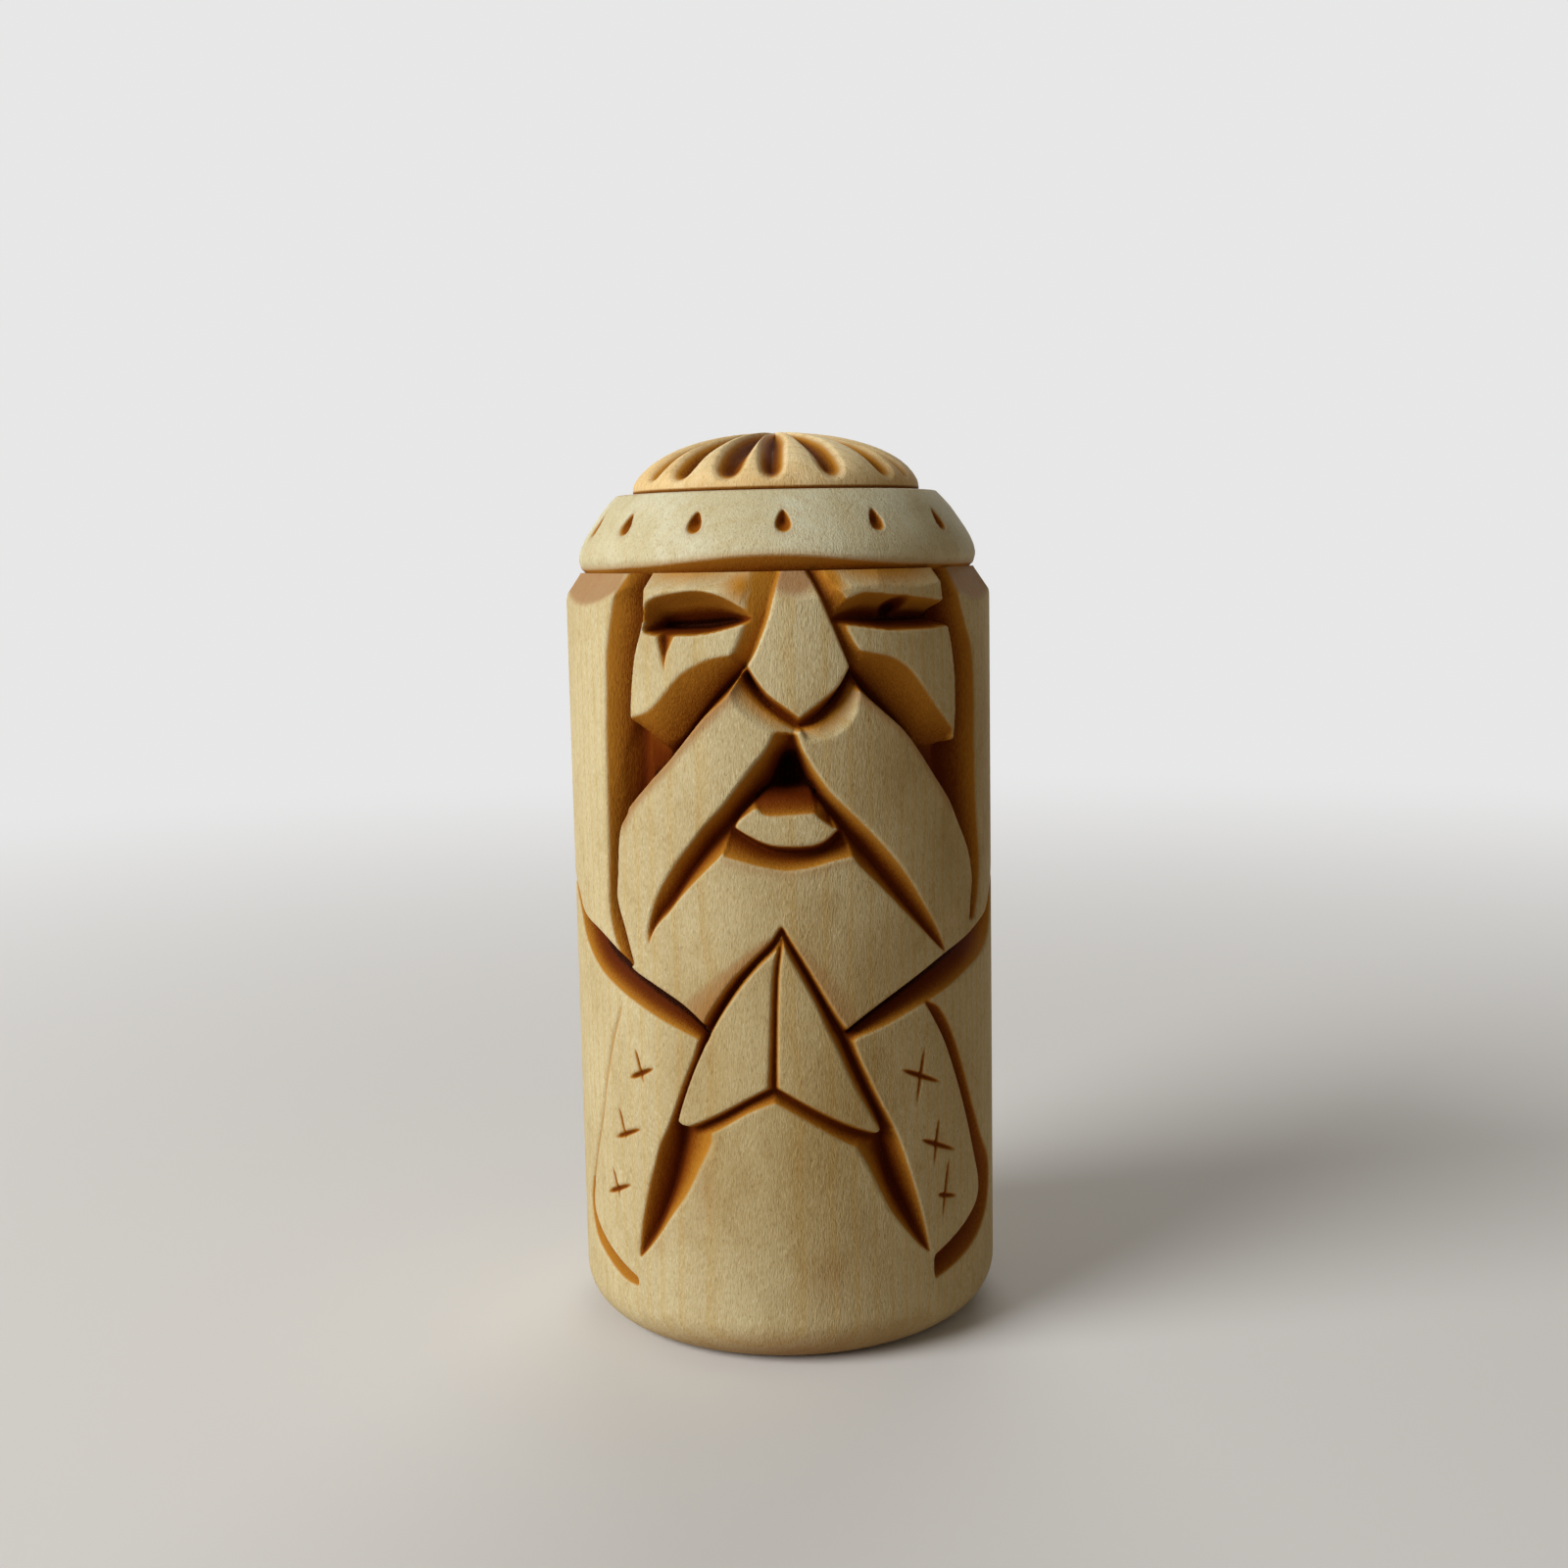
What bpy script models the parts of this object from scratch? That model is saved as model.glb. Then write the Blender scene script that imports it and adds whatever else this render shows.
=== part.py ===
"""A norse god figurine, knife carved in relief from one short round blank of pale wood.

The wooden figure is a single block. It is laid out here as the masses that the carver sets out on the
blank: a turned core with the skullcap and the headband on top, and around the core one solid for each
mass of the face, beard, hair and clothes. The masses part along the carver's own knife cuts.

The masses are drawn flat, as a chart of the blank's side: an angle round the blank, 0 at the front and
positive towards the figure's left, and a height in hundredths of the body. Each one is cut out of a flat
board, sliced with straight knife cuts, and then wrapped round the core.

Metres, +Z up. The figure looks along -Y, and its flat foot stands on Z = 0 round the origin.
"""

import math

import bmesh
import bpy
from mathutils import Matrix, Vector

MM = 0.001

# Blank, and how deep the carved layer round its core reaches
BLANK_RADIUS = 19.0 * MM
CARVED_LAYER = 6.2 * MM
CLEARANCE = 0.3 * MM
BODY_HEIGHT = 67.3 * MM
FOOT_ROUNDING = 4.0 * MM
SHOULDER_DROP = 2.6 * MM
SHOULDER_INSET = 1.8 * MM

# Knife work on the body: widths of the cuts, and their greatest depths
CUT_WIDTH = 0.55 * MM
FINE_CUT_WIDTH = 0.25 * MM
TEMPLE_DEPTH = 3.0 * MM
EYE_DEPTH = 3.4 * MM
EYE_LIP = 0.6 * MM
SCOOP_DEPTH = 2.6 * MM
FOLD_DEPTH = 2.3 * MM
LIP_DEPTH = 2.2 * MM
COLLAR_DEPTH = 1.9 * MM
FORK_DEPTH = 1.9 * MM
CHIP_DEPTH = 2.6 * MM
HEM_DEPTH = 1.4 * MM
SCAR_DEPTH = 0.8 * MM
PUPIL_RADIUS = 0.9 * MM
PUPIL_DEPTH = 1.2 * MM
NICK_WIDTH = 0.45 * MM
NICK_DEPTH = 0.35 * MM

# Headband: how far its lip stands in from the blank's side, and its top from its lip. The pricks start
# PRICK_TURN degrees from the front.
BAND_HEIGHT = 6.4 * MM
BAND_INSET = 1.2 * MM
BAND_LEAN = 3.5 * MM
BAND_LIP = 1.0 * MM
BAND_LIP_INSET = 0.4 * MM
BAND_UNDERCUT = 1.5 * MM
BAND_UNDERCUT_REACH = 6.5 * MM
PRICK_COUNT = 14
PRICK_TURN = 2.0
PRICK_HALF_WIDTH = 0.65 * MM
PRICK_HALF_HEIGHT = 0.85 * MM
PRICK_DEPTH = 1.3 * MM
PRICK_DROP = 2.4 * MM

# Skullcap
CAP_INSET = 1.5 * MM
CAP_RIM = 1.2 * MM
CAP_RISE = 3.9 * MM
FLUTE_COUNT = 16
FLUTE_RADIUS = 1.15 * MM
FLUTE_TIP_RADIUS = 0.25 * MM
FLUTE_INNER = 2.4 * MM
FLUTE_MARGIN = 1.1 * MM

# Fineness of the round surfaces: degrees to a facet of the body, facets to a turn, rings
WRAP_STEP = 6.0
TURN_STEPS = 72
FOOT_STEPS = 4
BAND_RINGS = 4
CAP_RINGS = 9

# Hair at the back: equal locks between the two side masses, above the nape
LOCK_COUNT = 8
SIDE_HAIR_END = 92.0
NAPE = 60.0
BACK = 180.0

# The chart's points: angle in degrees, height in hundredths of the body. Right and left are the figure's.
CHART = {
    "temple_right_top": (-37.5, 100.0),
    "brow_right_end": (-37.8, 95.0),
    "temple_right": (-38.2, 92.8),
    "cheek_right_corner": (-41.5, 83.0),
    "cheek_right_foot": (-29.5, 79.0),
    "whisker_right": (-39.0, 73.3),
    "shoulder_right": (-47.5, 68.3),
    "jaw_right": (-49.0, 58.5),
    "jaw_right_foot": (-43.0, 49.8),
    "temple_left_top": (47.0, 100.0),
    "brow_left_end": (48.2, 96.2),
    "temple_left": (49.5, 93.0),
    "cheek_left_side": (53.0, 82.0),
    "cheek_left_corner": (51.5, 78.5),
    "cheek_left_foot": (41.0, 76.3),
    "whisker_left": (47.5, 72.2),
    "shoulder_left": (55.0, 66.5),
    "jaw_left_top": (61.0, 60.5),
    "jaw_left": (60.0, 57.0),
    "jaw_left_foot": (57.0, 52.7),
    "nose_top_right": (-0.8, 100.0),
    "nose_top_left": (8.0, 100.0),
    "nose_right": (-8.8, 88.6),
    "nose_left": (19.0, 88.2),
    "nose_tip": (4.5, 81.3),
    "eye_right_inner": (-4.0, 94.3),
    "eye_left_inner": (14.0, 94.0),
    "brow_right_low": (-14.0, 97.0),
    "brow_right_mid": (-27.0, 97.5),
    "brow_left_low": (22.0, 97.3),
    "brow_left_mid": (35.0, 96.8),
    "lid_right": (-20.0, 92.8),
    "lid_left": (30.0, 92.8),
    "cheek_right_low": (-19.0, 83.4),
    "cheek_left_low": (34.0, 80.2),
    "philtrum": (3.2, 80.0),
    "mouth_right": (-4.0, 73.7),
    "mouth_left": (6.5, 73.5),
    "lip_right": (-13.0, 69.7),
    "lip_left": (15.0, 69.2),
    "lip_right_foot": (-4.0, 66.4),
    "lip_left_foot": (9.5, 66.2),
    "fold_right": (-22.0, 65.7),
    "fold_right_low": (-31.5, 59.9),
    "fold_right_tip": (-37.5, 53.8),
    "fold_left": (25.0, 64.0),
    "fold_left_low": (34.0, 58.5),
    "fold_left_tip": (46.5, 51.6),
    "beard_right": (-27.0, 46.0),
    "beard_right_tip": (-20.5, 43.2),
    "beard_left": (34.0, 48.1),
    "beard_left_low": (24.0, 45.8),
    "beard_left_tip": (16.3, 43.2),
    "fork_top": (-2.2, 55.2),
    "fork_foot": (-3.8, 36.0),
    "fork_right": (-25.5, 36.5),
    "fork_right_foot": (-30.0, 30.0),
    "fork_left": (20.0, 36.5),
    "fork_left_foot": (24.5, 29.8),
    "chip_right": (-34.5, 22.0),
    "chip_right_foot": (-40.5, 13.4),
    "chip_left": (31.0, 21.0),
    "chip_left_foot": (38.3, 13.8),
    "lapel_right_top": (-47.5, 51.1),
    "lapel_right_neck": (-48.5, 45.5),
    "lapel_right_high": (-52.5, 40.0),
    "lapel_right_mid": (-58.5, 30.0),
    "lapel_right_low": (-66.0, 21.0),
    "lapel_right_hip": (-69.5, 16.5),
    "lapel_right_turn": (-65.0, 14.5),
    "lapel_right_hem": (-55.0, 11.4),
    "lapel_right_foot": (-45.0, 9.0),
    "lapel_left_top": (41.0, 50.1),
    "lapel_left_neck": (41.5, 45.3),
    "lapel_left_high": (45.5, 41.5),
    "lapel_left_mid": (54.0, 32.5),
    "lapel_left_low": (61.5, 25.2),
    "lapel_left_hip": (66.5, 19.0),
    "lapel_left_turn": (64.5, 16.0),
    "lapel_left_hem": (56.0, 13.5),
    "lapel_left_foot": (41.5, 10.0),
    "hem_right": (-45.0, 0.0),
    "hem_left": (41.5, 0.0),
    "collar_right": (-57.0, 53.8),
    "collar_right_side": (-74.0, 57.5),
    "collar_left_side": (72.0, 54.6),
    "hair_right_top": (-SIDE_HAIR_END, 100.0),
    "hair_right_end": (-SIDE_HAIR_END, NAPE),
    "hair_left_top": (SIDE_HAIR_END, 100.0),
    "hair_left_end": (SIDE_HAIR_END, NAPE),
    "nape_right": (-BACK, NAPE),
    "nape_left": (BACK, NAPE),
    "hem_back_right": (-BACK, 0.0),
    "hem_back_left": (BACK, 0.0),
}

# Each mass: its outline on the chart, going round once
OUTLINES = {
    "nose": "nose_top_left nose_top_right eye_right_inner nose_right nose_tip nose_left eye_left_inner",
    "brow_right": "temple_right_top brow_right_end brow_right_mid brow_right_low eye_right_inner"
    " nose_top_right",
    "brow_left": "nose_top_left eye_left_inner brow_left_low brow_left_mid brow_left_end temple_left_top",
    "eye_right": "brow_right_end temple_right lid_right eye_right_inner brow_right_low brow_right_mid",
    "eye_left": "brow_left_mid brow_left_low eye_left_inner lid_left temple_left brow_left_end",
    "cheek_right": "temple_right cheek_right_corner cheek_right_foot cheek_right_low nose_right"
    " eye_right_inner lid_right",
    "cheek_left": "lid_left eye_left_inner nose_left cheek_left_low cheek_left_foot cheek_left_corner"
    " cheek_left_side temple_left",
    "moustache_right": "nose_tip nose_right cheek_right_low cheek_right_foot whisker_right shoulder_right"
    " jaw_right jaw_right_foot fold_right_tip fold_right_low fold_right lip_right mouth_right philtrum",
    "moustache_left": "philtrum mouth_left lip_left fold_left fold_left_low fold_left_tip jaw_left_foot"
    " jaw_left jaw_left_top shoulder_left whisker_left cheek_left_foot cheek_left_low nose_left nose_tip",
    "lower_lip": "mouth_left mouth_right lip_right lip_right_foot lip_left_foot lip_left",
    "beard": "lip_left_foot lip_right_foot lip_right fold_right fold_right_low fold_right_tip"
    " jaw_right_foot beard_right beard_right_tip fork_top beard_left_tip beard_left_low beard_left"
    " lapel_left_top fold_left_tip fold_left_low fold_left lip_left",
    "beard_fork_right": "fork_top beard_right_tip fork_right fork_right_foot fork_foot",
    "beard_fork_left": "fork_foot fork_left_foot fork_left beard_left_tip fork_top",
    "tunic": "fork_left_foot fork_foot fork_right_foot chip_right chip_right_foot lapel_right_foot"
    " hem_right hem_left lapel_left_foot chip_left_foot chip_left",
    "lapel_right": "beard_right_tip beard_right jaw_right_foot lapel_right_top lapel_right_neck"
    " lapel_right_high lapel_right_mid lapel_right_low lapel_right_hip lapel_right_turn lapel_right_hem"
    " lapel_right_foot chip_right_foot chip_right fork_right_foot fork_right",
    "lapel_left": "fork_left fork_left_foot chip_left chip_left_foot lapel_left_foot lapel_left_hem"
    " lapel_left_turn lapel_left_hip lapel_left_low lapel_left_mid lapel_left_high lapel_left_neck"
    " lapel_left_top beard_left beard_left_low beard_left_tip",
    "hair_right": "hair_right_top hair_right_end collar_right_side collar_right lapel_right_top"
    " jaw_right_foot jaw_right shoulder_right whisker_right cheek_right_foot cheek_right_corner"
    " temple_right brow_right_end temple_right_top",
    "hair_left": "temple_left_top brow_left_end temple_left cheek_left_side cheek_left_corner"
    " cheek_left_foot whisker_left shoulder_left jaw_left_top jaw_left jaw_left_foot collar_left_side"
    " hair_left_end hair_left_top",
    "cloak_right": "nape_right hem_back_right hem_right lapel_right_foot lapel_right_hem"
    " lapel_right_turn lapel_right_hip lapel_right_low lapel_right_mid lapel_right_high"
    " lapel_right_neck lapel_right_top collar_right collar_right_side hair_right_end",
    "cloak_left": "hair_left_end collar_left_side jaw_left_foot fold_left_tip lapel_left_top"
    " lapel_left_neck lapel_left_high lapel_left_mid lapel_left_low lapel_left_hip lapel_left_turn"
    " lapel_left_hem lapel_left_foot hem_left hem_back_left nape_left",
}

# Runs between two chart points where the wood goes on unbroken, so that no cut shows there
UNCUT = (
    ("jaw_right_foot", "fold_right_tip"),
    ("chip_right_foot", "lapel_right_foot"),
    ("lapel_right_foot", "hem_right"),
    ("chip_left_foot", "lapel_left_foot"),
    ("lapel_left_foot", "hem_left"),
    ("nape_right", "hem_back_right"),
    ("nape_left", "hem_back_left"),
)

# Straight knife slices: the mass, then three places on the cut as angle, height and depth in the wood
SLICES = (
    ("eye_right", (-36.0, 96.6, EYE_LIP), (-6.0, 96.4, EYE_LIP), (-20.0, 92.8, EYE_DEPTH)),
    ("eye_left", (14.0, 96.0, EYE_LIP), (48.0, 96.2, EYE_LIP), (30.0, 92.8, EYE_DEPTH)),
    ("cheek_right", (-37.0, 82.6, 0.0), (-10.0, 90.6, 0.0), (-19.0, 83.4, SCOOP_DEPTH)),
    ("cheek_left", (20.0, 91.4, 0.0), (50.0, 80.0, 0.0), (34.0, 80.2, SCOOP_DEPTH)),
    ("hair_right", (-52.0, 100.0, 0.0), (-52.0, 60.0, 0.0), (-40.0, 80.0, TEMPLE_DEPTH)),
    ("hair_left", (62.5, 100.0, 0.0), (65.0, 60.0, 0.0), (52.0, 80.0, TEMPLE_DEPTH)),
    ("lapel_right", (-48.0, 46.7, 0.0), (-22.0, 42.3, 0.0), (-43.0, 49.8, COLLAR_DEPTH)),
    ("lapel_left", (17.0, 42.3, 0.0), (40.0, 45.5, 0.0), (34.0, 48.1, COLLAR_DEPTH)),
    ("cloak_right", (-50.0, 47.0, 0.0), (-72.0, 55.0, 0.0), (-57.0, 53.8, COLLAR_DEPTH)),
    ("cloak_left", (42.0, 45.3, 0.0), (77.0, 53.3, 0.0), (57.0, 52.7, COLLAR_DEPTH)),
    ("tunic", (-18.5, 31.2, 0.0), (-39.0, 13.8, 0.0), (-31.5, 26.5, CHIP_DEPTH)),
    ("tunic", (16.5, 29.7, 0.0), (39.0, 13.4, 0.0), (28.0, 24.5, CHIP_DEPTH)),
    ("lower_lip", (-7.0, 70.6, 0.0), (8.0, 70.6, 0.0), (0.0, 73.5, LIP_DEPTH)),
)

# Chips with an end: the mass, the rim where the chip starts at the surface, and its floor with its depth
CHIPS = (
    (
        "moustache_right",
        ((2.0, 81.0), (-15.0, 71.9), (-27.0, 65.4), (-36.0, 58.0), (-38.0, 54.3)),
        ((-31.5, 59.3), (-22.0, 65.1), (-13.0, 69.2), (-4.0, 73.2), (4.2, 79.0)),
        FOLD_DEPTH,
    ),
    (
        "moustache_left",
        ((3.0, 80.6), (12.0, 73.8), (19.0, 70.5)),
        ((15.0, 68.8), (6.5, 72.8), (2.4, 79.0)),
        FOLD_DEPTH,
    ),
    (
        "moustache_left",
        ((12.0, 73.8), (19.0, 70.5), (33.0, 62.7), (45.0, 53.9), (47.0, 52.0)),
        ((34.0, 58.0), (25.0, 63.4), (15.0, 68.6)),
        FOLD_DEPTH,
    ),
    (
        "beard",
        ((-12.0, 65.0), (-22.0, 62.6), (-29.0, 59.0), (-36.0, 55.0), (-38.0, 54.0)),
        ((-31.5, 60.4), (-22.0, 66.2), (-13.0, 70.0)),
        FOLD_DEPTH,
    ),
    (
        "beard",
        ((-15.0, 65.4), (-5.0, 64.3), (1.0, 63.7), (11.0, 64.4), (18.0, 64.9)),
        ((-13.0, 69.9), (-4.0, 66.7), (9.5, 66.5), (15.0, 69.4)),
        FOLD_DEPTH,
    ),
    (
        "beard",
        ((16.0, 64.9), (24.0, 61.4), (31.0, 58.0), (39.0, 54.2), (47.0, 51.3)),
        ((34.0, 58.9), (25.0, 64.4), (15.0, 69.6)),
        FOLD_DEPTH,
    ),
    (
        "beard_fork_left",
        ((0.0, 53.6), (8.0, 46.3), (13.0, 40.2), (18.0, 36.2), (24.8, 29.4)),
        ((7.0, 49.5), (16.6, 43.4), (20.4, 36.5)),
        FORK_DEPTH,
    ),
    (
        "cloak_left",
        ((71.0, 22.0), (74.0, 17.5), (67.0, 13.2), (54.0, 10.3), (41.0, 8.6)),
        ((41.0, 10.2), (56.0, 13.8), (64.5, 16.3), (66.8, 19.3)),
        HEM_DEPTH,
    ),
    (
        "cloak_right",
        ((-71.0, 18.0), (-68.0, 13.2), (-56.0, 10.3), (-44.5, 8.0)),
        ((-44.5, 9.2), (-55.0, 11.6), (-65.0, 14.7), (-69.7, 16.7)),
        HEM_DEPTH,
    ),
    (
        "cheek_right",
        ((-31.4, 93.4), (-25.6, 93.4), (-29.8, 87.9)),
        ((-28.7, 93.4),),
        SCAR_DEPTH,
    ),
)

# The stitched crosses on the lapels: the two ends of each nick
NICKS = {
    "lapel_right": (
        ((-46.0, 36.0), (-36.0, 37.9)),
        ((-43.5, 40.4), (-40.0, 35.1)),
        ((-53.0, 27.2), (-41.0, 29.7)),
        ((-51.0, 31.9), (-47.0, 26.9)),
        ((-58.0, 19.2), (-45.5, 21.8)),
        ((-55.0, 23.3), (-51.0, 18.7)),
    ),
    "lapel_left": (
        ((30.0, 37.6), (44.5, 34.5)),
        ((38.0, 38.8), (35.0, 32.1)),
        ((36.0, 28.1), (51.0, 24.8)),
        ((43.0, 29.4), (41.0, 23.6)),
        ((42.0, 20.2), (51.0, 18.7)),
        ((47.5, 25.0), (45.0, 16.0)),
    ),
}
PUPIL = (30.0, 95.2)

# Masses whose edges are crisp, with only a narrow cut
FINE_MASSES = ("nose", "brow_right", "brow_left", "cheek_right", "cheek_left", "eye_right", "eye_left")

# Colours of the wood, from the palest surfaces to the stained hollows
PALE_WOOD = (0.70, 0.56, 0.34)
WARM_WOOD = (0.62, 0.44, 0.22)
STAINED_WOOD = (0.26, 0.10, 0.03)
WOOD_ROUGHNESS = 0.5

CORE_RADIUS = BLANK_RADIUS - CARVED_LAYER - CLEARANCE
BAND_RADIUS = BLANK_RADIUS - BAND_INSET
BAND_TOP_RADIUS = BAND_RADIUS - BAND_LEAN
CAP_RADIUS = BAND_TOP_RADIUS - CAP_INSET
SEAM = CLEARANCE / 2


def clear_scene():
    """Remove whatever the file holds, so that the model starts from nothing."""
    for scene_object in list(bpy.data.objects):
        bpy.data.objects.remove(scene_object, do_unlink=True)


def make_collection(name):
    collection = bpy.data.collections.new(name)
    bpy.context.scene.collection.children.link(collection)
    return collection


def wood(name, colour):
    """A plain satin wood of one colour, for one sub-part."""
    material = bpy.data.materials.new(name + "_wood")
    material.use_nodes = True
    shader = material.node_tree.nodes["Principled BSDF"]
    shader.inputs["Base Color"].default_value = (*colour, 1.0)
    shader.inputs["Roughness"].default_value = WOOD_ROUGHNESS
    shader.inputs["Metallic"].default_value = 0.0
    material.diffuse_color = (*colour, 1.0)
    return material


def add_object(name, mesh, rig, colour=PALE_WOOD):
    """Link a mesh as a named sub-part with its own wood, and parent it to the figurine's empty."""
    sub_part = bpy.data.objects.new(name, mesh)
    rig.users_collection[0].objects.link(sub_part)
    sub_part.parent = rig
    mesh.shade_smooth()
    mesh.set_sharp_from_angle(angle=math.radians(25.0))
    if not mesh.materials:
        mesh.materials.append(None)
    sub_part.material_slots[0].link = "OBJECT"
    sub_part.material_slots[0].material = wood(name, colour)
    return sub_part


def evaluated_mesh(source):
    """The mesh of an object with its modifiers applied, or of a curve as it is filled and extruded."""
    graph = bpy.context.evaluated_depsgraph_get()
    graph.update()
    return bpy.data.meshes.new_from_object(source.evaluated_get(graph), depsgraph=graph)


def on_board(angle, height, depth=0.0):
    """A place of the chart on the flat board: along, up, and minus the depth below its front."""
    return Vector((BLANK_RADIUS * math.radians(angle), BODY_HEIGHT * height / 100.0, -depth))


def blank_radius(height):
    """The turned blank's radius: rounded at the foot, straight, and chamfered under the headband."""
    foot = max(FOOT_ROUNDING - height, 0.0)
    rounding = FOOT_ROUNDING - math.sqrt(max(FOOT_ROUNDING**2 - foot**2, 0.0))
    shoulder = max(height - (BODY_HEIGHT - SHOULDER_DROP), 0.0)
    return BLANK_RADIUS - rounding - SHOULDER_INSET * shoulder / SHOULDER_DROP


def area_of(points):
    """Twice the area of a closed flat outline, positive where it runs anticlockwise."""
    return sum(points[i - 1].x * points[i].y - points[i].x * points[i - 1].y for i in range(len(points)))


def shrink(points, margin):
    """Move every side of a closed anticlockwise outline inwards, and let the sides meet anew."""
    count = len(points)
    shrunk = []
    for i in range(count):
        before = (points[i] - points[i - 1]).normalized()
        after = (points[(i + 1) % count] - points[i]).normalized()
        inward = Vector((-before.y, before.x, 0.0))
        mitre = (inward + Vector((-after.y, after.x, 0.0))).normalized()
        shrunk.append(points[i] + mitre * margin / max(mitre.dot(inward), 0.2))
    return shrunk


def face_outward(bm):
    """Turn all faces to point out of the solid, which then has a positive volume."""
    bmesh.ops.recalc_face_normals(bm, faces=bm.faces[:])
    if bm.calc_volume(signed=True) < 0.0:
        bmesh.ops.reverse_faces(bm, faces=bm.faces[:])


def flat_board(points):
    """A flat outline filled and extruded to the board's thickness, with its front at z = 0."""
    curve = bpy.data.curves.new("board", "CURVE")
    curve.dimensions = "2D"
    curve.fill_mode = "BOTH"
    curve.extrude = CARVED_LAYER / 2
    spline = curve.splines.new("POLY")
    spline.points.add(len(points) - 1)
    for spline_point, place in zip(spline.points, points):
        spline_point.co = (place.x, place.y, 0.0, 1.0)
    spline.use_cyclic_u = True
    board = bpy.data.objects.new("board", curve)
    bpy.context.scene.collection.objects.link(board)
    mesh = evaluated_mesh(board)
    bpy.data.objects.remove(board)
    bm = bmesh.new()
    bm.from_mesh(mesh)
    bpy.data.meshes.remove(mesh)
    bmesh.ops.remove_doubles(bm, verts=bm.verts[:], dist=0.01 * MM)
    bmesh.ops.dissolve_limit(bm, angle_limit=math.radians(1.0), verts=bm.verts[:], edges=bm.edges[:])
    bmesh.ops.translate(bm, verts=bm.verts[:], vec=(0.0, 0.0, -CARVED_LAYER / 2))
    face_outward(bm)
    return bm


def bevel_front(bm, sides, width):
    """Take the knife along the given sides of the board's front."""
    edges = []
    for edge in bm.edges:
        first, second = (vertex.co for vertex in edge.verts)
        for start, end in sides:
            along = (first - start).length + (second - end).length
            back = (first - end).length + (second - start).length
            if min(along, back) < 0.01 * MM:
                edges.append(edge)
    bmesh.ops.bevel(bm, geom=edges, offset=width, segments=1, affect="EDGES", clamp_overlap=True)


def knife_slice(bm, places):
    """Slice off the wood that stands proud of the plane through three places."""
    first, second, third = (on_board(*place) for place in places)
    normal = (second - first).cross(third - first).normalized()
    if normal.z < 0.0:
        normal.negate()
    geometry = bm.verts[:] + bm.edges[:] + bm.faces[:]
    cut = bmesh.ops.bisect_plane(
        bm, geom=geometry, dist=0.005 * MM, plane_co=first, plane_no=normal, clear_outer=True
    )
    rim = [element for element in cut["geom_cut"] if isinstance(element, bmesh.types.BMEdge)]
    bmesh.ops.holes_fill(bm, edges=rim, sides=0)
    face_outward(bm)


def score(bm, place, direction):
    """Score the board across without removing anything, so that it can bend there."""
    geometry = bm.verts[:] + bm.edges[:] + bm.faces[:]
    bmesh.ops.bisect_plane(bm, geom=geometry, dist=0.03 * MM, plane_co=place, plane_no=direction)


def wrap(bm):
    """Bend the flat board round the core, its front on the blank's turned side."""
    step = BLANK_RADIUS * math.radians(WRAP_STEP)
    first = math.floor(min(vertex.co.x for vertex in bm.verts) / step)
    last = math.ceil(max(vertex.co.x for vertex in bm.verts) / step)
    for number in range(first, last + 1):
        score(bm, Vector((number * step, 0.0, 0.0)), Vector((1.0, 0.0, 0.0)))
    for number in range(1, FOOT_STEPS + 1):
        height = FOOT_ROUNDING * (1.0 - math.cos(math.radians(90.0) * number / FOOT_STEPS))
        score(bm, Vector((0.0, height, 0.0)), Vector((0.0, 1.0, 0.0)))
    score(bm, Vector((0.0, BODY_HEIGHT - SHOULDER_DROP, 0.0)), Vector((0.0, 1.0, 0.0)))
    bmesh.ops.triangulate(bm, faces=bm.faces[:])
    inner = CORE_RADIUS + CLEARANCE
    for vertex in bm.verts:
        along, up, front = vertex.co
        outer = blank_radius(up)
        radius = outer + (inner - outer) * (-front / CARVED_LAYER)
        angle = along / BLANK_RADIUS
        vertex.co = (radius * math.sin(angle), -radius * math.cos(angle), up)
    face_outward(bm)


def cut_from_board(bm, cutter):
    """Subtract a cutter from the flat board. The exact solver loses whole boards at some sizes here."""
    face_outward(cutter)
    board_mesh = bpy.data.meshes.new("board")
    tool_mesh = bpy.data.meshes.new("tool")
    for solid, mesh in ((bm, board_mesh), (cutter, tool_mesh)):
        solid.to_mesh(mesh)
        solid.free()
    board = bpy.data.objects.new("board", board_mesh)
    tool = bpy.data.objects.new("tool", tool_mesh)
    for flat_object in (board, tool):
        bpy.context.scene.collection.objects.link(flat_object)
    boolean = board.modifiers.new("cut", "BOOLEAN")
    boolean.object = tool
    boolean.solver = "MANIFOLD"
    mesh = evaluated_mesh(board)
    bpy.data.objects.remove(board)
    bpy.data.objects.remove(tool)
    result = bmesh.new()
    result.from_mesh(mesh)
    bpy.data.meshes.remove(mesh)
    return result


def nick_cutter(start, end):
    """A thin four-sided point, as long as its stroke, that sinks into the front of the board."""
    bm = bmesh.new()
    first, second = on_board(*start), on_board(*end)
    run = second - first
    turn = Matrix.Rotation(math.atan2(run.y, run.x), 4, "Z")
    size = Matrix.Diagonal((run.length / 2, NICK_WIDTH / 2, 2 * NICK_DEPTH, 1.0))
    point_down = Matrix.Rotation(math.pi, 4, "X")
    place = Matrix.Translation((first + second) / 2)
    bmesh.ops.create_cone(
        bm, cap_ends=True, segments=4, radius1=2.0, radius2=0.0, depth=1.0,
        matrix=place @ turn @ size @ point_down,
    )
    return bm


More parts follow.
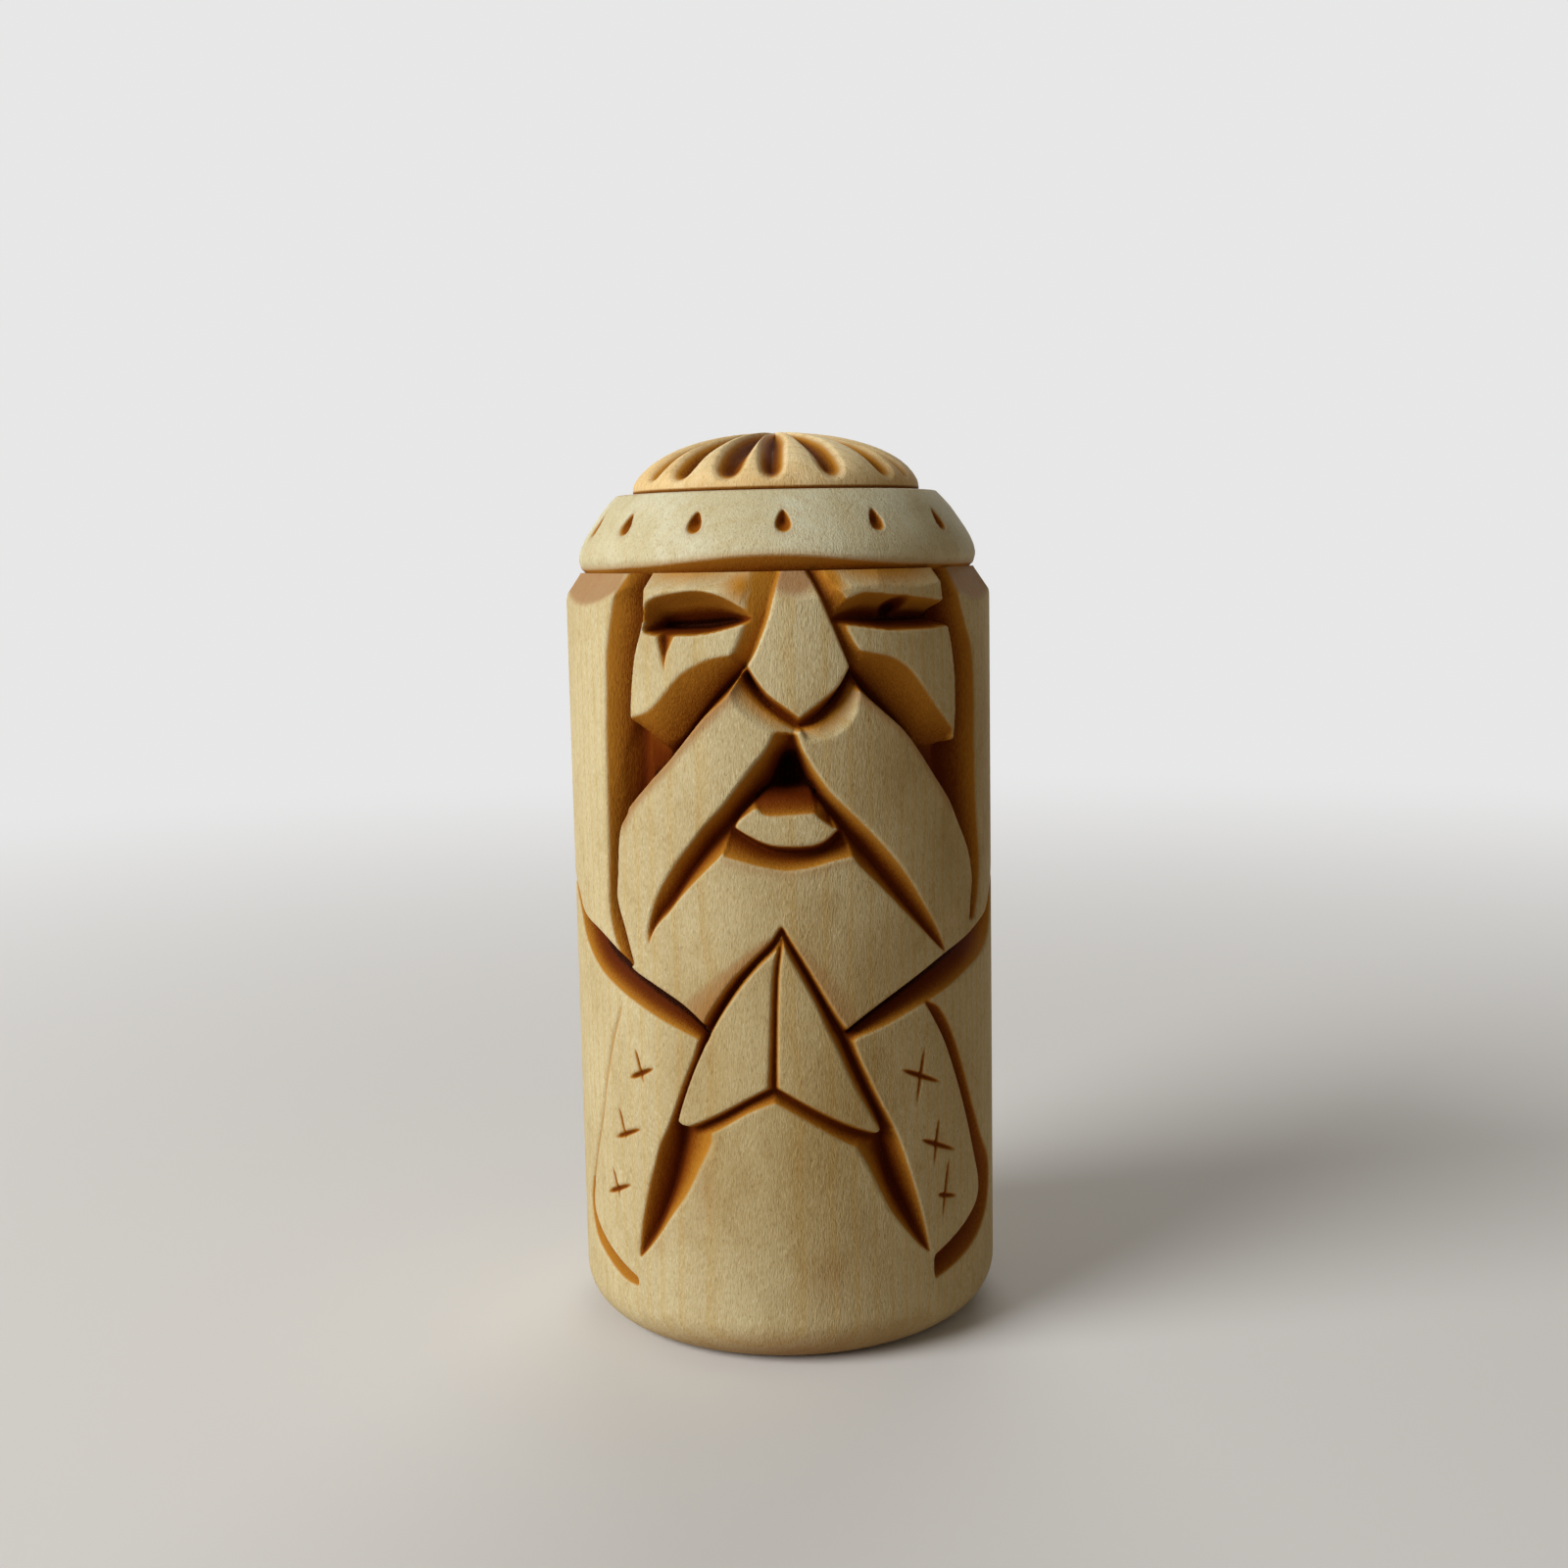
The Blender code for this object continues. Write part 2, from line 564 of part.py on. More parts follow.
def chip_cutter(rim, floor, depth):
    """The chip that the knife lifts out: from its rim at the surface down to its floor."""
    bm = bmesh.new()
    for corner in rim:
        bm.verts.new(on_board(*corner))
        bm.verts.new(on_board(*corner, -CUT_WIDTH))
    for corner in floor:
        bm.verts.new(on_board(*corner, depth))
        bm.verts.new(on_board(*corner, -CUT_WIDTH))
    hull = bmesh.ops.convex_hull(bm, input=bm.verts[:])
    inside = [element for element in hull["geom_interior"] if isinstance(element, bmesh.types.BMVert)]
    bmesh.ops.delete(bm, geom=inside, context="VERTS")
    return bm


def pupil_cutter():
    """A short cone that sinks into the floor of the seeing eye."""
    bm = bmesh.new()
    length = EYE_DEPTH + PUPIL_DEPTH
    place = Matrix.Translation(on_board(*PUPIL) + Vector((0.0, 0.0, -length / 2)))
    bmesh.ops.create_cone(
        bm, cap_ends=True, segments=10, radius1=PUPIL_RADIUS / 2, radius2=PUPIL_RADIUS, depth=length,
        matrix=place,
    )
    return bm


def carved_board(name, corners, cut_sides):
    """One mass: its outline cut from the board, bevelled, sliced, chipped, nicked and wrapped."""
    points = shrink(corners, SEAM)
    for point, corner in zip(points, corners):
        if corner.y == 0.0:
            point.y = 0.0
    bm = flat_board(points)
    sides = [(points[i - 1], points[i]) for i in range(len(points)) if cut_sides[i]]
    bevel_front(bm, sides, FINE_CUT_WIDTH if name in FINE_MASSES else CUT_WIDTH)
    for mass, *places in SLICES:
        if mass == name:
            knife_slice(bm, places)
    for mass, rim, floor, depth in CHIPS:
        if mass == name:
            bm = cut_from_board(bm, chip_cutter(rim, floor, depth))
    for start, end in NICKS.get(name, ()):
        bm = cut_from_board(bm, nick_cutter(start, end))
    if name == "eye_left":
        bm = cut_from_board(bm, pupil_cutter())
    wrap(bm)
    mesh = bpy.data.meshes.new(name)
    bm.to_mesh(mesh)
    bm.free()
    return mesh


def make_masses(rig):
    """Every mass of the chart. No cut follows the blank's foot or top, or an uncut run."""
    for name, outline in OUTLINES.items():
        names = outline.split()
        if area_of([on_board(*CHART[point]) for point in names]) < 0.0:
            names.reverse()
        cut_sides = []
        for i, end in enumerate(names):
            start = names[i - 1]
            level = {CHART[start][1], CHART[end][1]}
            uncut = (start, end) in UNCUT or (end, start) in UNCUT
            cut_sides.append(not uncut and level != {0.0} and level != {100.0})
        corners = [on_board(*CHART[point]) for point in names]
        colour = STAINED_WOOD if name.startswith("eye") else PALE_WOOD
        add_object(name, carved_board(name, corners, cut_sides), rig, colour)


def turned(name, profile, height, rig, colour=PALE_WOOD):
    """A turned solid: a profile of radius and height, from its top on the axis down to its foot."""
    bm = bmesh.new()
    vertices = [bm.verts.new((radius, 0.0, level)) for radius, level in profile]
    for upper, lower in zip(vertices, vertices[1:]):
        bm.edges.new((upper, lower))
    mesh = bpy.data.meshes.new(name)
    bm.to_mesh(mesh)
    bm.free()
    sub_part = add_object(name, mesh, rig, colour)
    sub_part.location.z = height
    screw = sub_part.modifiers.new("turning", "SCREW")
    screw.axis = "Z"
    screw.steps = TURN_STEPS
    screw.render_steps = TURN_STEPS
    screw.use_merge_vertices = True
    screw.merge_threshold = 0.00001
    screw.use_smooth_shade = True
    return sub_part


def add_cutter(sub_part, name, bm, collection):
    """Subtract a cutter, parented to its sub-part, with a Boolean that stays on the sub-part."""
    face_outward(bm)
    mesh = bpy.data.meshes.new(name)
    bm.to_mesh(mesh)
    bm.free()
    cutter = bpy.data.objects.new(name, mesh)
    collection.objects.link(cutter)
    cutter.parent = sub_part
    cutter.hide_render = True
    cutter.display_type = "WIRE"
    boolean = sub_part.modifiers.new(name, "BOOLEAN")
    boolean.object = cutter


def make_core(rig):
    """The round heart of the blank, which carries everything and gives the foot its middle."""
    profile = [(0.0, BODY_HEIGHT), (CORE_RADIUS, BODY_HEIGHT), (CORE_RADIUS, 0.0), (0.0, 0.0)]
    return turned("core", profile, 0.0, rig, WARM_WOOD)


def band_side(drop):
    """Radius of the headband's bulging side at a drop below its top."""
    return BAND_TOP_RADIUS + BAND_LEAN * math.sin(math.pi / 2 * drop / (BAND_HEIGHT - BAND_LIP))


def make_headband(rig, cutters):
    """The plain band that leans in towards its top, cut back under the brow, with knife-point pricks."""
    drops = [(BAND_HEIGHT - BAND_LIP) * ring / BAND_RINGS for ring in range(BAND_RINGS + 1)]
    profile = [(0.0, BAND_HEIGHT)]
    profile += [(band_side(drop), BAND_HEIGHT - drop) for drop in drops]
    profile += [(BAND_RADIUS - BAND_LIP_INSET, 0.0), (0.0, 0.0)]
    band = turned("headband", profile, BODY_HEIGHT + CLEARANCE, rig)

    pricks = bmesh.new()
    lean = math.atan2(BAND_LEAN, BAND_HEIGHT)
    surface = Matrix.Translation((0.0, -band_side(PRICK_DROP), BAND_HEIGHT - PRICK_DROP))
    upright = Matrix.Rotation(math.pi / 2 - lean, 4, "X")
    oval = Matrix.Diagonal((PRICK_HALF_WIDTH, PRICK_HALF_HEIGHT, 1.0, 1.0))
    for number in range(PRICK_COUNT):
        turn = Matrix.Rotation(math.tau * number / PRICK_COUNT + math.radians(PRICK_TURN), 4, "Z")
        bmesh.ops.create_cone(
            pricks, cap_ends=True, segments=8, radius1=0.0, radius2=2.0,
            depth=2 * PRICK_DEPTH, matrix=turn @ surface @ upright @ oval,
        )
    add_cutter(band, "pricks", pricks, cutters)

    undercut = bmesh.new()
    slope = math.atan2(BAND_UNDERCUT, BAND_UNDERCUT_REACH)
    block = Matrix.Diagonal((4 * BAND_RADIUS, 2 * BAND_RADIUS, BAND_HEIGHT, 1.0))
    edge = Matrix.Translation((0.0, -BAND_RADIUS, BAND_UNDERCUT))
    below = Matrix.Translation((0.0, 0.0, -BAND_HEIGHT / 2))
    tilt = Matrix.Rotation(-slope, 4, "X")
    bmesh.ops.create_cube(undercut, size=1.0, matrix=edge @ tilt @ below @ block)
    add_cutter(band, "undercut", undercut, cutters)
    return band


def cap_height(radius):
    """Height of the skullcap's crown above its rim, a full curve that is steep at the rim."""
    return CAP_RISE * max(1.0 - (radius / CAP_RADIUS) ** 2, 0.0) ** 0.75


def make_skullcap(rig, cutters):
    """The domed cap with gouged flutes that run out from its crown."""
    rings = [CAP_RADIUS * math.sin(math.pi / 2 * ring / CAP_RINGS) for ring in range(CAP_RINGS)]
    profile = [(radius, CAP_RIM + cap_height(radius)) for radius in rings]
    profile += [(CAP_RADIUS, CAP_RIM), (CAP_RADIUS, 0.0), (0.0, 0.0)]
    cap = turned("skullcap", profile, BODY_HEIGHT + BAND_HEIGHT + 2 * CLEARANCE, rig, WARM_WOOD)

    flutes = bmesh.new()
    outer = CAP_RADIUS - FLUTE_MARGIN
    start = Vector((0.0, -FLUTE_INNER, CAP_RIM + cap_height(FLUTE_INNER)))
    end = Vector((0.0, -outer, CAP_RIM + cap_height(outer)))
    run = end - start
    aim = Matrix.Rotation(math.pi / 2 + math.atan2(-run.z, -run.y), 4, "X")
    for number in range(FLUTE_COUNT):
        turn = Matrix.Rotation(math.tau * number / FLUTE_COUNT, 4, "Z")
        bmesh.ops.create_cone(
            flutes, cap_ends=True, segments=8, radius1=FLUTE_TIP_RADIUS, radius2=FLUTE_RADIUS,
            depth=run.length, matrix=turn @ Matrix.Translation((start + end) / 2) @ aim,
        )
    add_cutter(cap, "flutes", flutes, cutters)
    return cap


def make_hair_locks(rig):
    """The long hair behind: one lock, repeated round the back from one side mass to the other."""
    width = (2 * BACK - 2 * SIDE_HAIR_END) / LOCK_COUNT
    outline = ((-width / 2, 100.0), (-width / 2, NAPE), (width / 2, NAPE), (width / 2, 100.0))
    corners = [on_board(*corner) for corner in outline]
    lock = carved_board("hair_lock", corners, (False, True, True, True))
    for number in range(LOCK_COUNT):
        sub_part = add_object("hair_lock_%d" % (number + 1), lock, rig)
        sub_part.rotation_euler.z = math.radians(SIDE_HAIR_END + (number + 0.5) * width)


def build():
    clear_scene()
    parts = make_collection("norse_god_figurine")
    cutters = make_collection("cutters")
    rig = bpy.data.objects.new("figurine_base", None)
    parts.objects.link(rig)
    make_core(rig)
    make_headband(rig, cutters)
    make_skullcap(rig, cutters)
    make_masses(rig)
    make_hair_locks(rig)


build()
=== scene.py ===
# %% [markdown]
# # A folk figurine carved from one round blank
# The real thing is a short round stick of pale wood. Its maker outlined the masses on it, sliced wood away
# beside the lines with a knife, and rubbed brown stain into the cuts. Everything pale is the untouched skin of
# the stick, and everything amber or brown is a cut. This lesson builds it the same way: one smooth skin, and
# a list of knife cuts pressed into it.

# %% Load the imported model
import math

import bpy
import numpy as np
from mathutils import Euler, Matrix, Vector
from mathutils.geometry import delaunay_2d_cdt


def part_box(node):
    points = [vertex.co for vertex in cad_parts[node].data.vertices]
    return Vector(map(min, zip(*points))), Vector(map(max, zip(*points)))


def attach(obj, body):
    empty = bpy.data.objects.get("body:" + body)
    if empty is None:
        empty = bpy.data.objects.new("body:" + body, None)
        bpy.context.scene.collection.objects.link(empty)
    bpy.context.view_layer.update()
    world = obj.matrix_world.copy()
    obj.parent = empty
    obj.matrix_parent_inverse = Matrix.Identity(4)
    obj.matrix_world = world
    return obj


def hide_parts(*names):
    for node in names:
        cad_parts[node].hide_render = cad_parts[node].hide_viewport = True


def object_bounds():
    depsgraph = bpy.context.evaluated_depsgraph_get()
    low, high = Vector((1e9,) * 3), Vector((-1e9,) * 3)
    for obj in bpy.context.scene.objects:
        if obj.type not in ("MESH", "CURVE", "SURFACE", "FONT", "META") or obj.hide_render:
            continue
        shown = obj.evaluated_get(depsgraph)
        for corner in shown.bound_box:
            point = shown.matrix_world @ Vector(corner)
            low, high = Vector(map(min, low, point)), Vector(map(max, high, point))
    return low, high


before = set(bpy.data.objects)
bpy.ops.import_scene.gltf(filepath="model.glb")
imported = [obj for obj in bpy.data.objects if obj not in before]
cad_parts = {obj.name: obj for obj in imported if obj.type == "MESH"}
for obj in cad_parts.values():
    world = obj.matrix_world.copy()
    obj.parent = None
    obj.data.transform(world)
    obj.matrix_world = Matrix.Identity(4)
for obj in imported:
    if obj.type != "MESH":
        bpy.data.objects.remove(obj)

cad_box = [list(corner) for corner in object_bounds()]
print("CAD box", cad_box)

# %% [markdown]
# ## Sizes from the frame
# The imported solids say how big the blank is, so nothing here is fitted by eye. Work goes on in millimetres,
# because a carver thinks in them, and turns into metres when a mesh is made.

# %% Sizes of the blank
MM = 0.001
blank = cad_box[1][0] / MM
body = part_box("core")[1].z / MM
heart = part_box("core")[1].x / MM
mm_per_degree = blank * math.pi / 180.0
print(f"blank radius {blank:.2f}, body {body:.2f}, heart radius {heart:.2f} mm")

# %% [markdown]
# ## The skin of the blank
# A grid of points covers the body: the angle goes round the blank, the other way follows its side from the
# foot to the shoulder. The foot is rounded off, so there the side is walked by its own length, which keeps the
# points evenly spaced.

# %% Lay out the grid
STEP = 0.125
COLUMNS = 960
FOOT_ROUND = 4.0

foot_turn = np.linspace(0.0, math.pi / 2, round(FOOT_ROUND * math.pi / 2 / STEP))
straight = np.append(np.arange(FOOT_ROUND + STEP, body - STEP / 2, STEP), body)
row_height = np.concatenate([FOOT_ROUND * (1 - np.cos(foot_turn)), straight])
row_radius = np.concatenate([blank - FOOT_ROUND * (1 - np.sin(foot_turn)), np.full(len(straight), blank)])
ROWS = len(row_height)
turn_step = 360.0 / COLUMNS
angle = np.repeat((-180.0 + turn_step * np.arange(COLUMNS))[None, :], ROWS, axis=0)
height = np.repeat(row_height[:, None], COLUMNS, axis=1)
print("grid", angle.shape)


# %% Two measures that many steps use
def turn_from(middle, angles):
    """How many degrees each angle lies beyond the middle, the short way round: from -180 to 180."""
    return (angles - middle + 180.0) % 360.0 - 180.0


def ramp(value, none_at, full_at):
    """0 at none_at, 1 at full_at, straight between them and level beyond: (value - none) / (full - none)."""
    return np.clip((value - none_at) / (full_at - none_at), 0.0, 1.0)


# %% [markdown]
# ## The cuts
# A knife cut is a valley with flat sides. Each valley is written as rows of places that run along it: the rim
# on one side, the floor, and the rim on the other side. A place is an angle, a height and a depth, and it lies
# on the skin where the depth is left out. Between the rows the wood is flat, just as a blade leaves it. Right
# and left are the figure's own.
#
# A row starts with how dark the stain lies along it, from 0, none, to 1, black brown. A wide slice has it only
# along its floor, and a narrow cut is dark all through.

# %% Cuts round the face
CUTS = {}
CUTS["temple_right"] = (
    (0.05, (-43, 67.4), (-47, 65.2), (-49, 63.1), (-51, 60.4), (-51.3, 57.4), (-52, 53.5), (-52, 50.4),
     (-52, 46.2), (-52.2, 42.5), (-52.5, 38.9), (-50.2, 36), (-44.4, 34.1)),
    (0.7, (-37.5, 67.4, 2.4), (-38, 65.2, 2.8), (-38.5, 63, 3), (-41, 60.5, 3.1), (-43, 57.4, 3.1),
     (-44.5, 53.5, 3.1), (-46, 50, 3.1), (-48.5, 46, 2.9), (-49.6, 42.3, 2.4), (-50.2, 39.2, 1.9),
     (-47.6, 36.6, 1.5), (-43.6, 34.2, 1.2)),
    (0.5, (-35.5, 67.4), (-36, 65.2), (-36.8, 63), (-39.5, 60.5), (-41, 57.4), (-41.5, 54.4), (-42.5, 48),
     (-46.8, 45.6), (-48.2, 41.8), (-48.6, 39.7), (-45.7, 37.3), (-42.6, 34.3)),
)
CUTS["temple_left"] = (
    (0.05, (55, 67.4), (54.5, 64.9), (58, 62.4), (61.5, 60.4), (63, 57), (63, 53), (63, 51.5), (63.8, 46.7),
     (65.5, 43), (66, 41), (64.5, 38.8), (61.5, 36.8)),
    (0.84, (48, 67.4, 2.4), (48.5, 65, 2.8), (50.5, 62.4, 3), (52.5, 60.2, 3.1), (54, 57, 3.1), (54.5, 53, 3.1),
     (55, 50.5, 3.1), (57.5, 46.5, 2.9), (60.5, 43.2, 2.5), (62.5, 40.7, 2), (61.5, 38.6, 1.4), (60, 36.8, 0.7)),
    (0.6, (46, 67.4), (46.5, 65.2), (49, 62.4), (50.7, 60.4), (52, 57), (51, 53), (48, 48.8), (52, 45.9),
     (57.5, 43.2), (60, 40.6), (59.2, 38.7), (58.2, 36.7)),
)
CUTS["scoop_right"] = (
    (0.16, (-8.5, 60.5), (-12, 60.7), (-18, 60.4), (-25, 59.3), (-30, 57.7), (-35, 56.2), (-41, 55.4)),
    (0.42, (-9, 59.8, 1.2), (-12.5, 58.9, 1.7), (-19, 56.9, 2), (-24, 55.2, 2.1), (-28.5, 53.7, 2),
     (-33, 53.4, 1.5), (-41.5, 54.9, 0.6)),
    (1, (-9.5, 59.3, 2.2), (-13.5, 58.1, 2.5), (-19.5, 56.3, 2.7), (-25, 54.3, 2.9), (-30, 52.6, 3),
     (-36, 50.9, 3.1), (-43, 49.6, 3.2)),
    (0.3, (-11.5, 58.2), (-14, 57.1), (-19.5, 55.5), (-25, 53.5), (-30, 51.7), (-36, 49.9), (-42, 48)),
)
CUTS["scoop_left"] = (
    (0.16, (18.5, 61), (25, 60.6), (30, 60.2), (35, 59.2), (40, 57.4), (45, 55.6), (50.5, 53.8)),
    (0.4, (18.5, 59.9, 1), (22, 58.9, 1.5), (27, 57.4, 1.9), (32, 55.8, 2), (37, 54.2, 1.9), (41, 52.7, 1.7),
     (50, 52.6, 0.9)),
    (1, (19, 59.2, 2), (22.3, 58, 2.4), (27.5, 56.2, 2.7), (33, 54.6, 2.9), (38, 53, 3), (43, 51.2, 3.1),
     (52, 50.4, 3.2)),
    (0.3, (19, 57.9), (22.5, 56.8), (28, 55.4), (33.5, 53.9), (38.5, 51.9), (43, 50), (50, 47.2)),
)
CUTS["pocket_right"] = (
    (0.1, (-33, 52.6, 2.3), (-41.5, 54.9, 2.5), (-45, 55.2, 2.9), (-49, 52, 1.6)),
    (0.45, (-36, 50.6, 3.1), (-42.5, 49.4, 3.2), (-46.4, 48, 3.2), (-49.4, 46.4, 2.1)),
    (0.35, (-36, 49.9), (-42, 48), (-45.6, 46.6), (-47.2, 45)),
)
CUTS["pocket_left"] = (
    (0.1, (43, 51.9, 2.3), (50.8, 52.6, 2.4), (54.6, 53, 2.9), (59.4, 51, 1.6)),
    (0.75, (43, 51, 3.1), (50, 49.1, 3.2), (54.6, 47.4, 3.2), (59.6, 45.2, 2.1)),
    (0.5, (43, 50), (49, 47.6), (53, 45.5), (57.3, 43.3)),
)
CUTS["nostril_right"] = (
    (0.1, (-8, 59.9), (-6, 58.8), (-3, 57.5), (1, 56.5), (4.9, 55.5)),
    (1, (-9, 59.2, 2.3), (-6.8, 58.1, 2.2), (-3.7, 56.8, 1.9), (0.4, 55.7, 1.4), (4.8, 54.6, 1.3)),
    (0.1, (-10.4, 58.5, 1), (-8.4, 57.5, 1), (-4.9, 56.35, 0.9), (-0.5, 55.3, 0.7), (4.2, 54.4, 0.8)),
    (0, (-12.3, 57.4), (-10.9, 56.3), (-6.9, 55.2), (-2.6, 54.3), (3, 53.6)),
)
CUTS["nostril_left"] = (
    (0.1, (17.8, 59.6), (15, 58.1), (11, 57), (8, 56.3), (4.9, 55.5)),
    (1, (18.8, 59, 2.3), (15.8, 57.3, 2.2), (11.8, 56, 1.8), (8.6, 55.2, 1.4), (4.8, 54.6, 1.3)),
    (0.1, (19.3, 58.3, 1), (16.9, 56.6, 1), (12.8, 55.3, 0.9), (9.4, 54.75, 0.7), (5.4, 54.4, 0.8)),
    (0, (19.9, 57), (18.4, 55.2), (14.2, 54), (10.6, 53.6), (6.8, 53.5)),
)
CUTS["nose_right"] = (
    (0.1, (1, 67.4), (0, 66.4), (-1.2, 65), (-2.3, 63.7), (-4, 62.3), (-6, 60.8), (-8, 59.8)),
    (0.24, (0.3, 67.4, 0.6), (-0.8, 66.3, 0.6), (-2, 64.9, 0.6), (-3.1, 63.5, 0.8), (-4.8, 62, 1),
     (-6.9, 60.5, 1.4), (-9.3, 59.3, 2.2)),
    (0.06, (-7, 67.4), (-8, 66), (-9.5, 64.9), (-8.8, 63.5), (-9.8, 62.4), (-11.2, 61.2), (-12, 60.6, 0.1)),
)
CUTS["nose_left"] = (
    (0.25, (7.2, 67.4), (9, 66.4), (10.5, 65.2), (12.3, 63.8), (13.6, 62.8), (15.5, 61.3), (17.3, 60),
     (18, 59.2)),
    (0.5, (8.6, 67.4, 1.9), (10, 66.3, 1.6), (11.4, 65, 1), (13, 63.6, 0.9), (14.3, 62.6, 0.9), (16.3, 61.1, 1.2),
     (18.2, 59.7, 1.9), (19, 58.9, 2.3)),
    (0.2, (12, 67.4), (13.5, 66.4), (17, 65, 0.2), (16.8, 63.7, 0.5), (17.4, 62.7), (18.6, 61.8), (20, 61, 0.1),
     (21.2, 60.3, 0.6)),
)
CUTS["socket_right"] = (
    (0.15, (-36.2, 63.4), (-35.6, 64.6), (-33, 65.3), (-27, 65.7), (-20, 65.9), (-14, 65.4), (-9, 64.5),
     (-6, 63.7)),
    (0.15, (-35.5, 63.3, 1.5), (-34.5, 64, 1.6), (-32, 64.5, 1.6), (-27, 64.8, 1.6), (-20, 64.9, 1.6),
     (-14.5, 64.6, 1.5), (-10, 64, 1.2), (-6.3, 63.65, 0.3)),
    (1, (-35.6, 63, 2.6), (-34, 62.9, 3.6), (-31, 62.8, 3.7), (-26, 62.8, 3.7), (-20, 62.9, 3.7),
     (-15, 63.1, 3.4), (-10.5, 63.3, 2.6), (-6.4, 63.6, 0.4)),
    (0.5, (-36.2, 62.6, 0.2), (-35, 62.4, 0.3), (-31, 62.3, 0.3), (-26, 62.3, 0.3), (-19, 62.4, 0.3),
     (-13, 62.8, 0.3), (-9, 63.2, 0.2), (-6, 63.6)),
)
CUTS["socket_left"] = (
    (0.12, (12.5, 63.8), (16, 64.8), (21, 65.5), (25, 65.5), (30, 65.3), (35, 65.1), (41, 64.9), (49.6, 64.4)),
    (0.15, (13, 63.6, 0.5), (17, 64.2, 1), (22, 64.7, 1.3), (25, 64.7, 1.4), (30, 64.5, 1.5), (35, 64.3, 1.6),
     (41, 64.1, 1.7), (50.2, 63.8, 2)),
    (0.85, (13.3, 63.4, 0.9), (17, 63.4, 1.7), (21.5, 63.3, 2.4), (25, 63.2, 2.8), (30, 63.1, 3.1),
     (35, 63.1, 3.2), (41, 63.1, 3.3), (50.4, 63.1, 3.3)),
    (0.4, (13, 63.1), (17, 62.9), (21, 62.7), (25, 62.5), (30, 62.3), (35, 62.3), (41, 62.3), (49.4, 62.5)),
)
CUTS["scar"] = (
    (0.05, (-32, 62.4), (-31.3, 61.4), (-30.6, 60.4), (-30.3, 59.1)),
    (0.75, (-31, 62.4, 1), (-30.6, 61.4, 0.8), (-30.2, 60.4, 0.5), (-30.1, 59.1, 0.15)),
    (0.1, (-26, 62.4), (-27.8, 61.4), (-29.4, 60.4), (-29.9, 59.1)),
)
print(len(CUTS), "cuts round the face")

# %% Cuts round the mouth
CUTS["mouth_right"] = (
    (0, (-2, 54.4), (-3.5, 53.2), (-5.2, 52.4), (-7, 51.8), (-11, 50.1), (-15, 48.4)),
    (0.82, (2.6, 54.1, 0.9), (1.2, 52.9, 1.9), (-0.6, 51.6, 3.2), (-3.2, 49.9, 3.3), (-7.5, 48.6, 2.8),
     (-11.5, 47.3, 2.3)),
)
CUTS["mouth_left"] = (
    (0, (4.3, 54.1), (5.3, 53), (6.6, 52.2), (8.2, 51.3), (10, 50.4)),
    (0.9, (3.1, 54.1, 0.9), (4.2, 52.9, 1.9), (5.4, 51.6, 3.2), (7.4, 50.1, 3.3), (9, 49.2, 3)),
)
# The pit is stained full on every row and cut deepest, so it renders black: partly its stain, partly painted shade
# of the deep hole.
CUTS["mouth"] = (
    (1, (2.6, 54.1, 0.9), (1.2, 52.9, 1.9), (-0.6, 51.6, 3.3), (-3.2, 49.9, 3.4)),
    (1, (2.85, 54.1, 1), (2.8, 52.9, 2.3), (2.4, 51.6, 5.6), (2.2, 50.1, 5.6)),
    (1, (3.1, 54.1, 0.9), (4.2, 52.9, 1.9), (5.4, 51.6, 3.3), (7.6, 50.1, 3.4)),
)
CUTS["lip_top"] = (
    (1, (-7.5, 48.9, 2.8), (-3.2, 49.95, 3.6), (2.2, 50.05, 5.4), (7.6, 50.15, 3.6), (10.5, 49.2, 2.8)),
    (0.75, (-7.2, 48.5, 0.9), (-3.8, 48.95, 1), (2, 49, 1), (7.8, 48.9, 1), (9.4, 48.5, 1)),
    (0.2, (-6.2, 48.2), (-4, 47.4), (2, 47.4), (7.6, 47.5), (8.3, 47.4)),
)
CUTS["lip_side_right"] = (
    (0.2, (-7.2, 48.5, 0.9), (-6.2, 48.2)),
    (0.7, (-11.5, 47.3, 2.3), (-12.3, 46.8)),
)
CUTS["lip_side_left"] = (
    (0.2, (9.4, 48.6, 1), (8.1, 47.5)),
    (0.6, (12.6, 47.8, 2.5), (13.2, 46.4, 1)),
)
CUTS["chin"] = (
    (0.4, (-12.5, 46.7), (-8, 45.8), (-3, 45.1), (3, 44.9), (8, 45), (11, 45.4), (13.5, 46.1)),
    (0.82, (-14, 46.3, 2.1), (-9, 45.3, 2), (-3, 44.4, 1.9), (3, 44.2, 1.9), (9, 44.3, 1.9), (12.5, 44.8, 2),
     (16, 45.8, 2.1)),
    (0.1, (-15, 44), (-10, 43.6), (-5, 43.2), (1, 42.9), (7, 43.1), (12, 43.5), (18, 43.8)),
)
CUTS["fold_right"] = (
    (0, (-7, 51.8), (-11, 50.1), (-15, 48.4), (-20, 46.7), (-23.5, 45.3), (-27.5, 43.8), (-32, 41.8), (-35, 39.9),
     (-37, 37.9), (-37.5, 36.2)),
    (0.74, (-5, 49.3, 3), (-10.5, 47.7, 2.5), (-14.5, 46.5, 2.3), (-19.5, 45, 2.1), (-23, 43.6, 1.9),
     (-27, 41.9, 1.7), (-31, 40, 1.4), (-34.3, 38.8, 1), (-36.5, 37.4, 0.6), (-37.3, 36.2, 0.1)),
    (0.12, (-6.5, 48.6, 1), (-11, 47.2, 0.3), (-14.8, 44.6, 0.2), (-18.5, 43.2), (-22.5, 41.9), (-26.5, 40.6),
     (-30.5, 39.1), (-34, 38), (-36.2, 37), (-37, 36.2)),
)
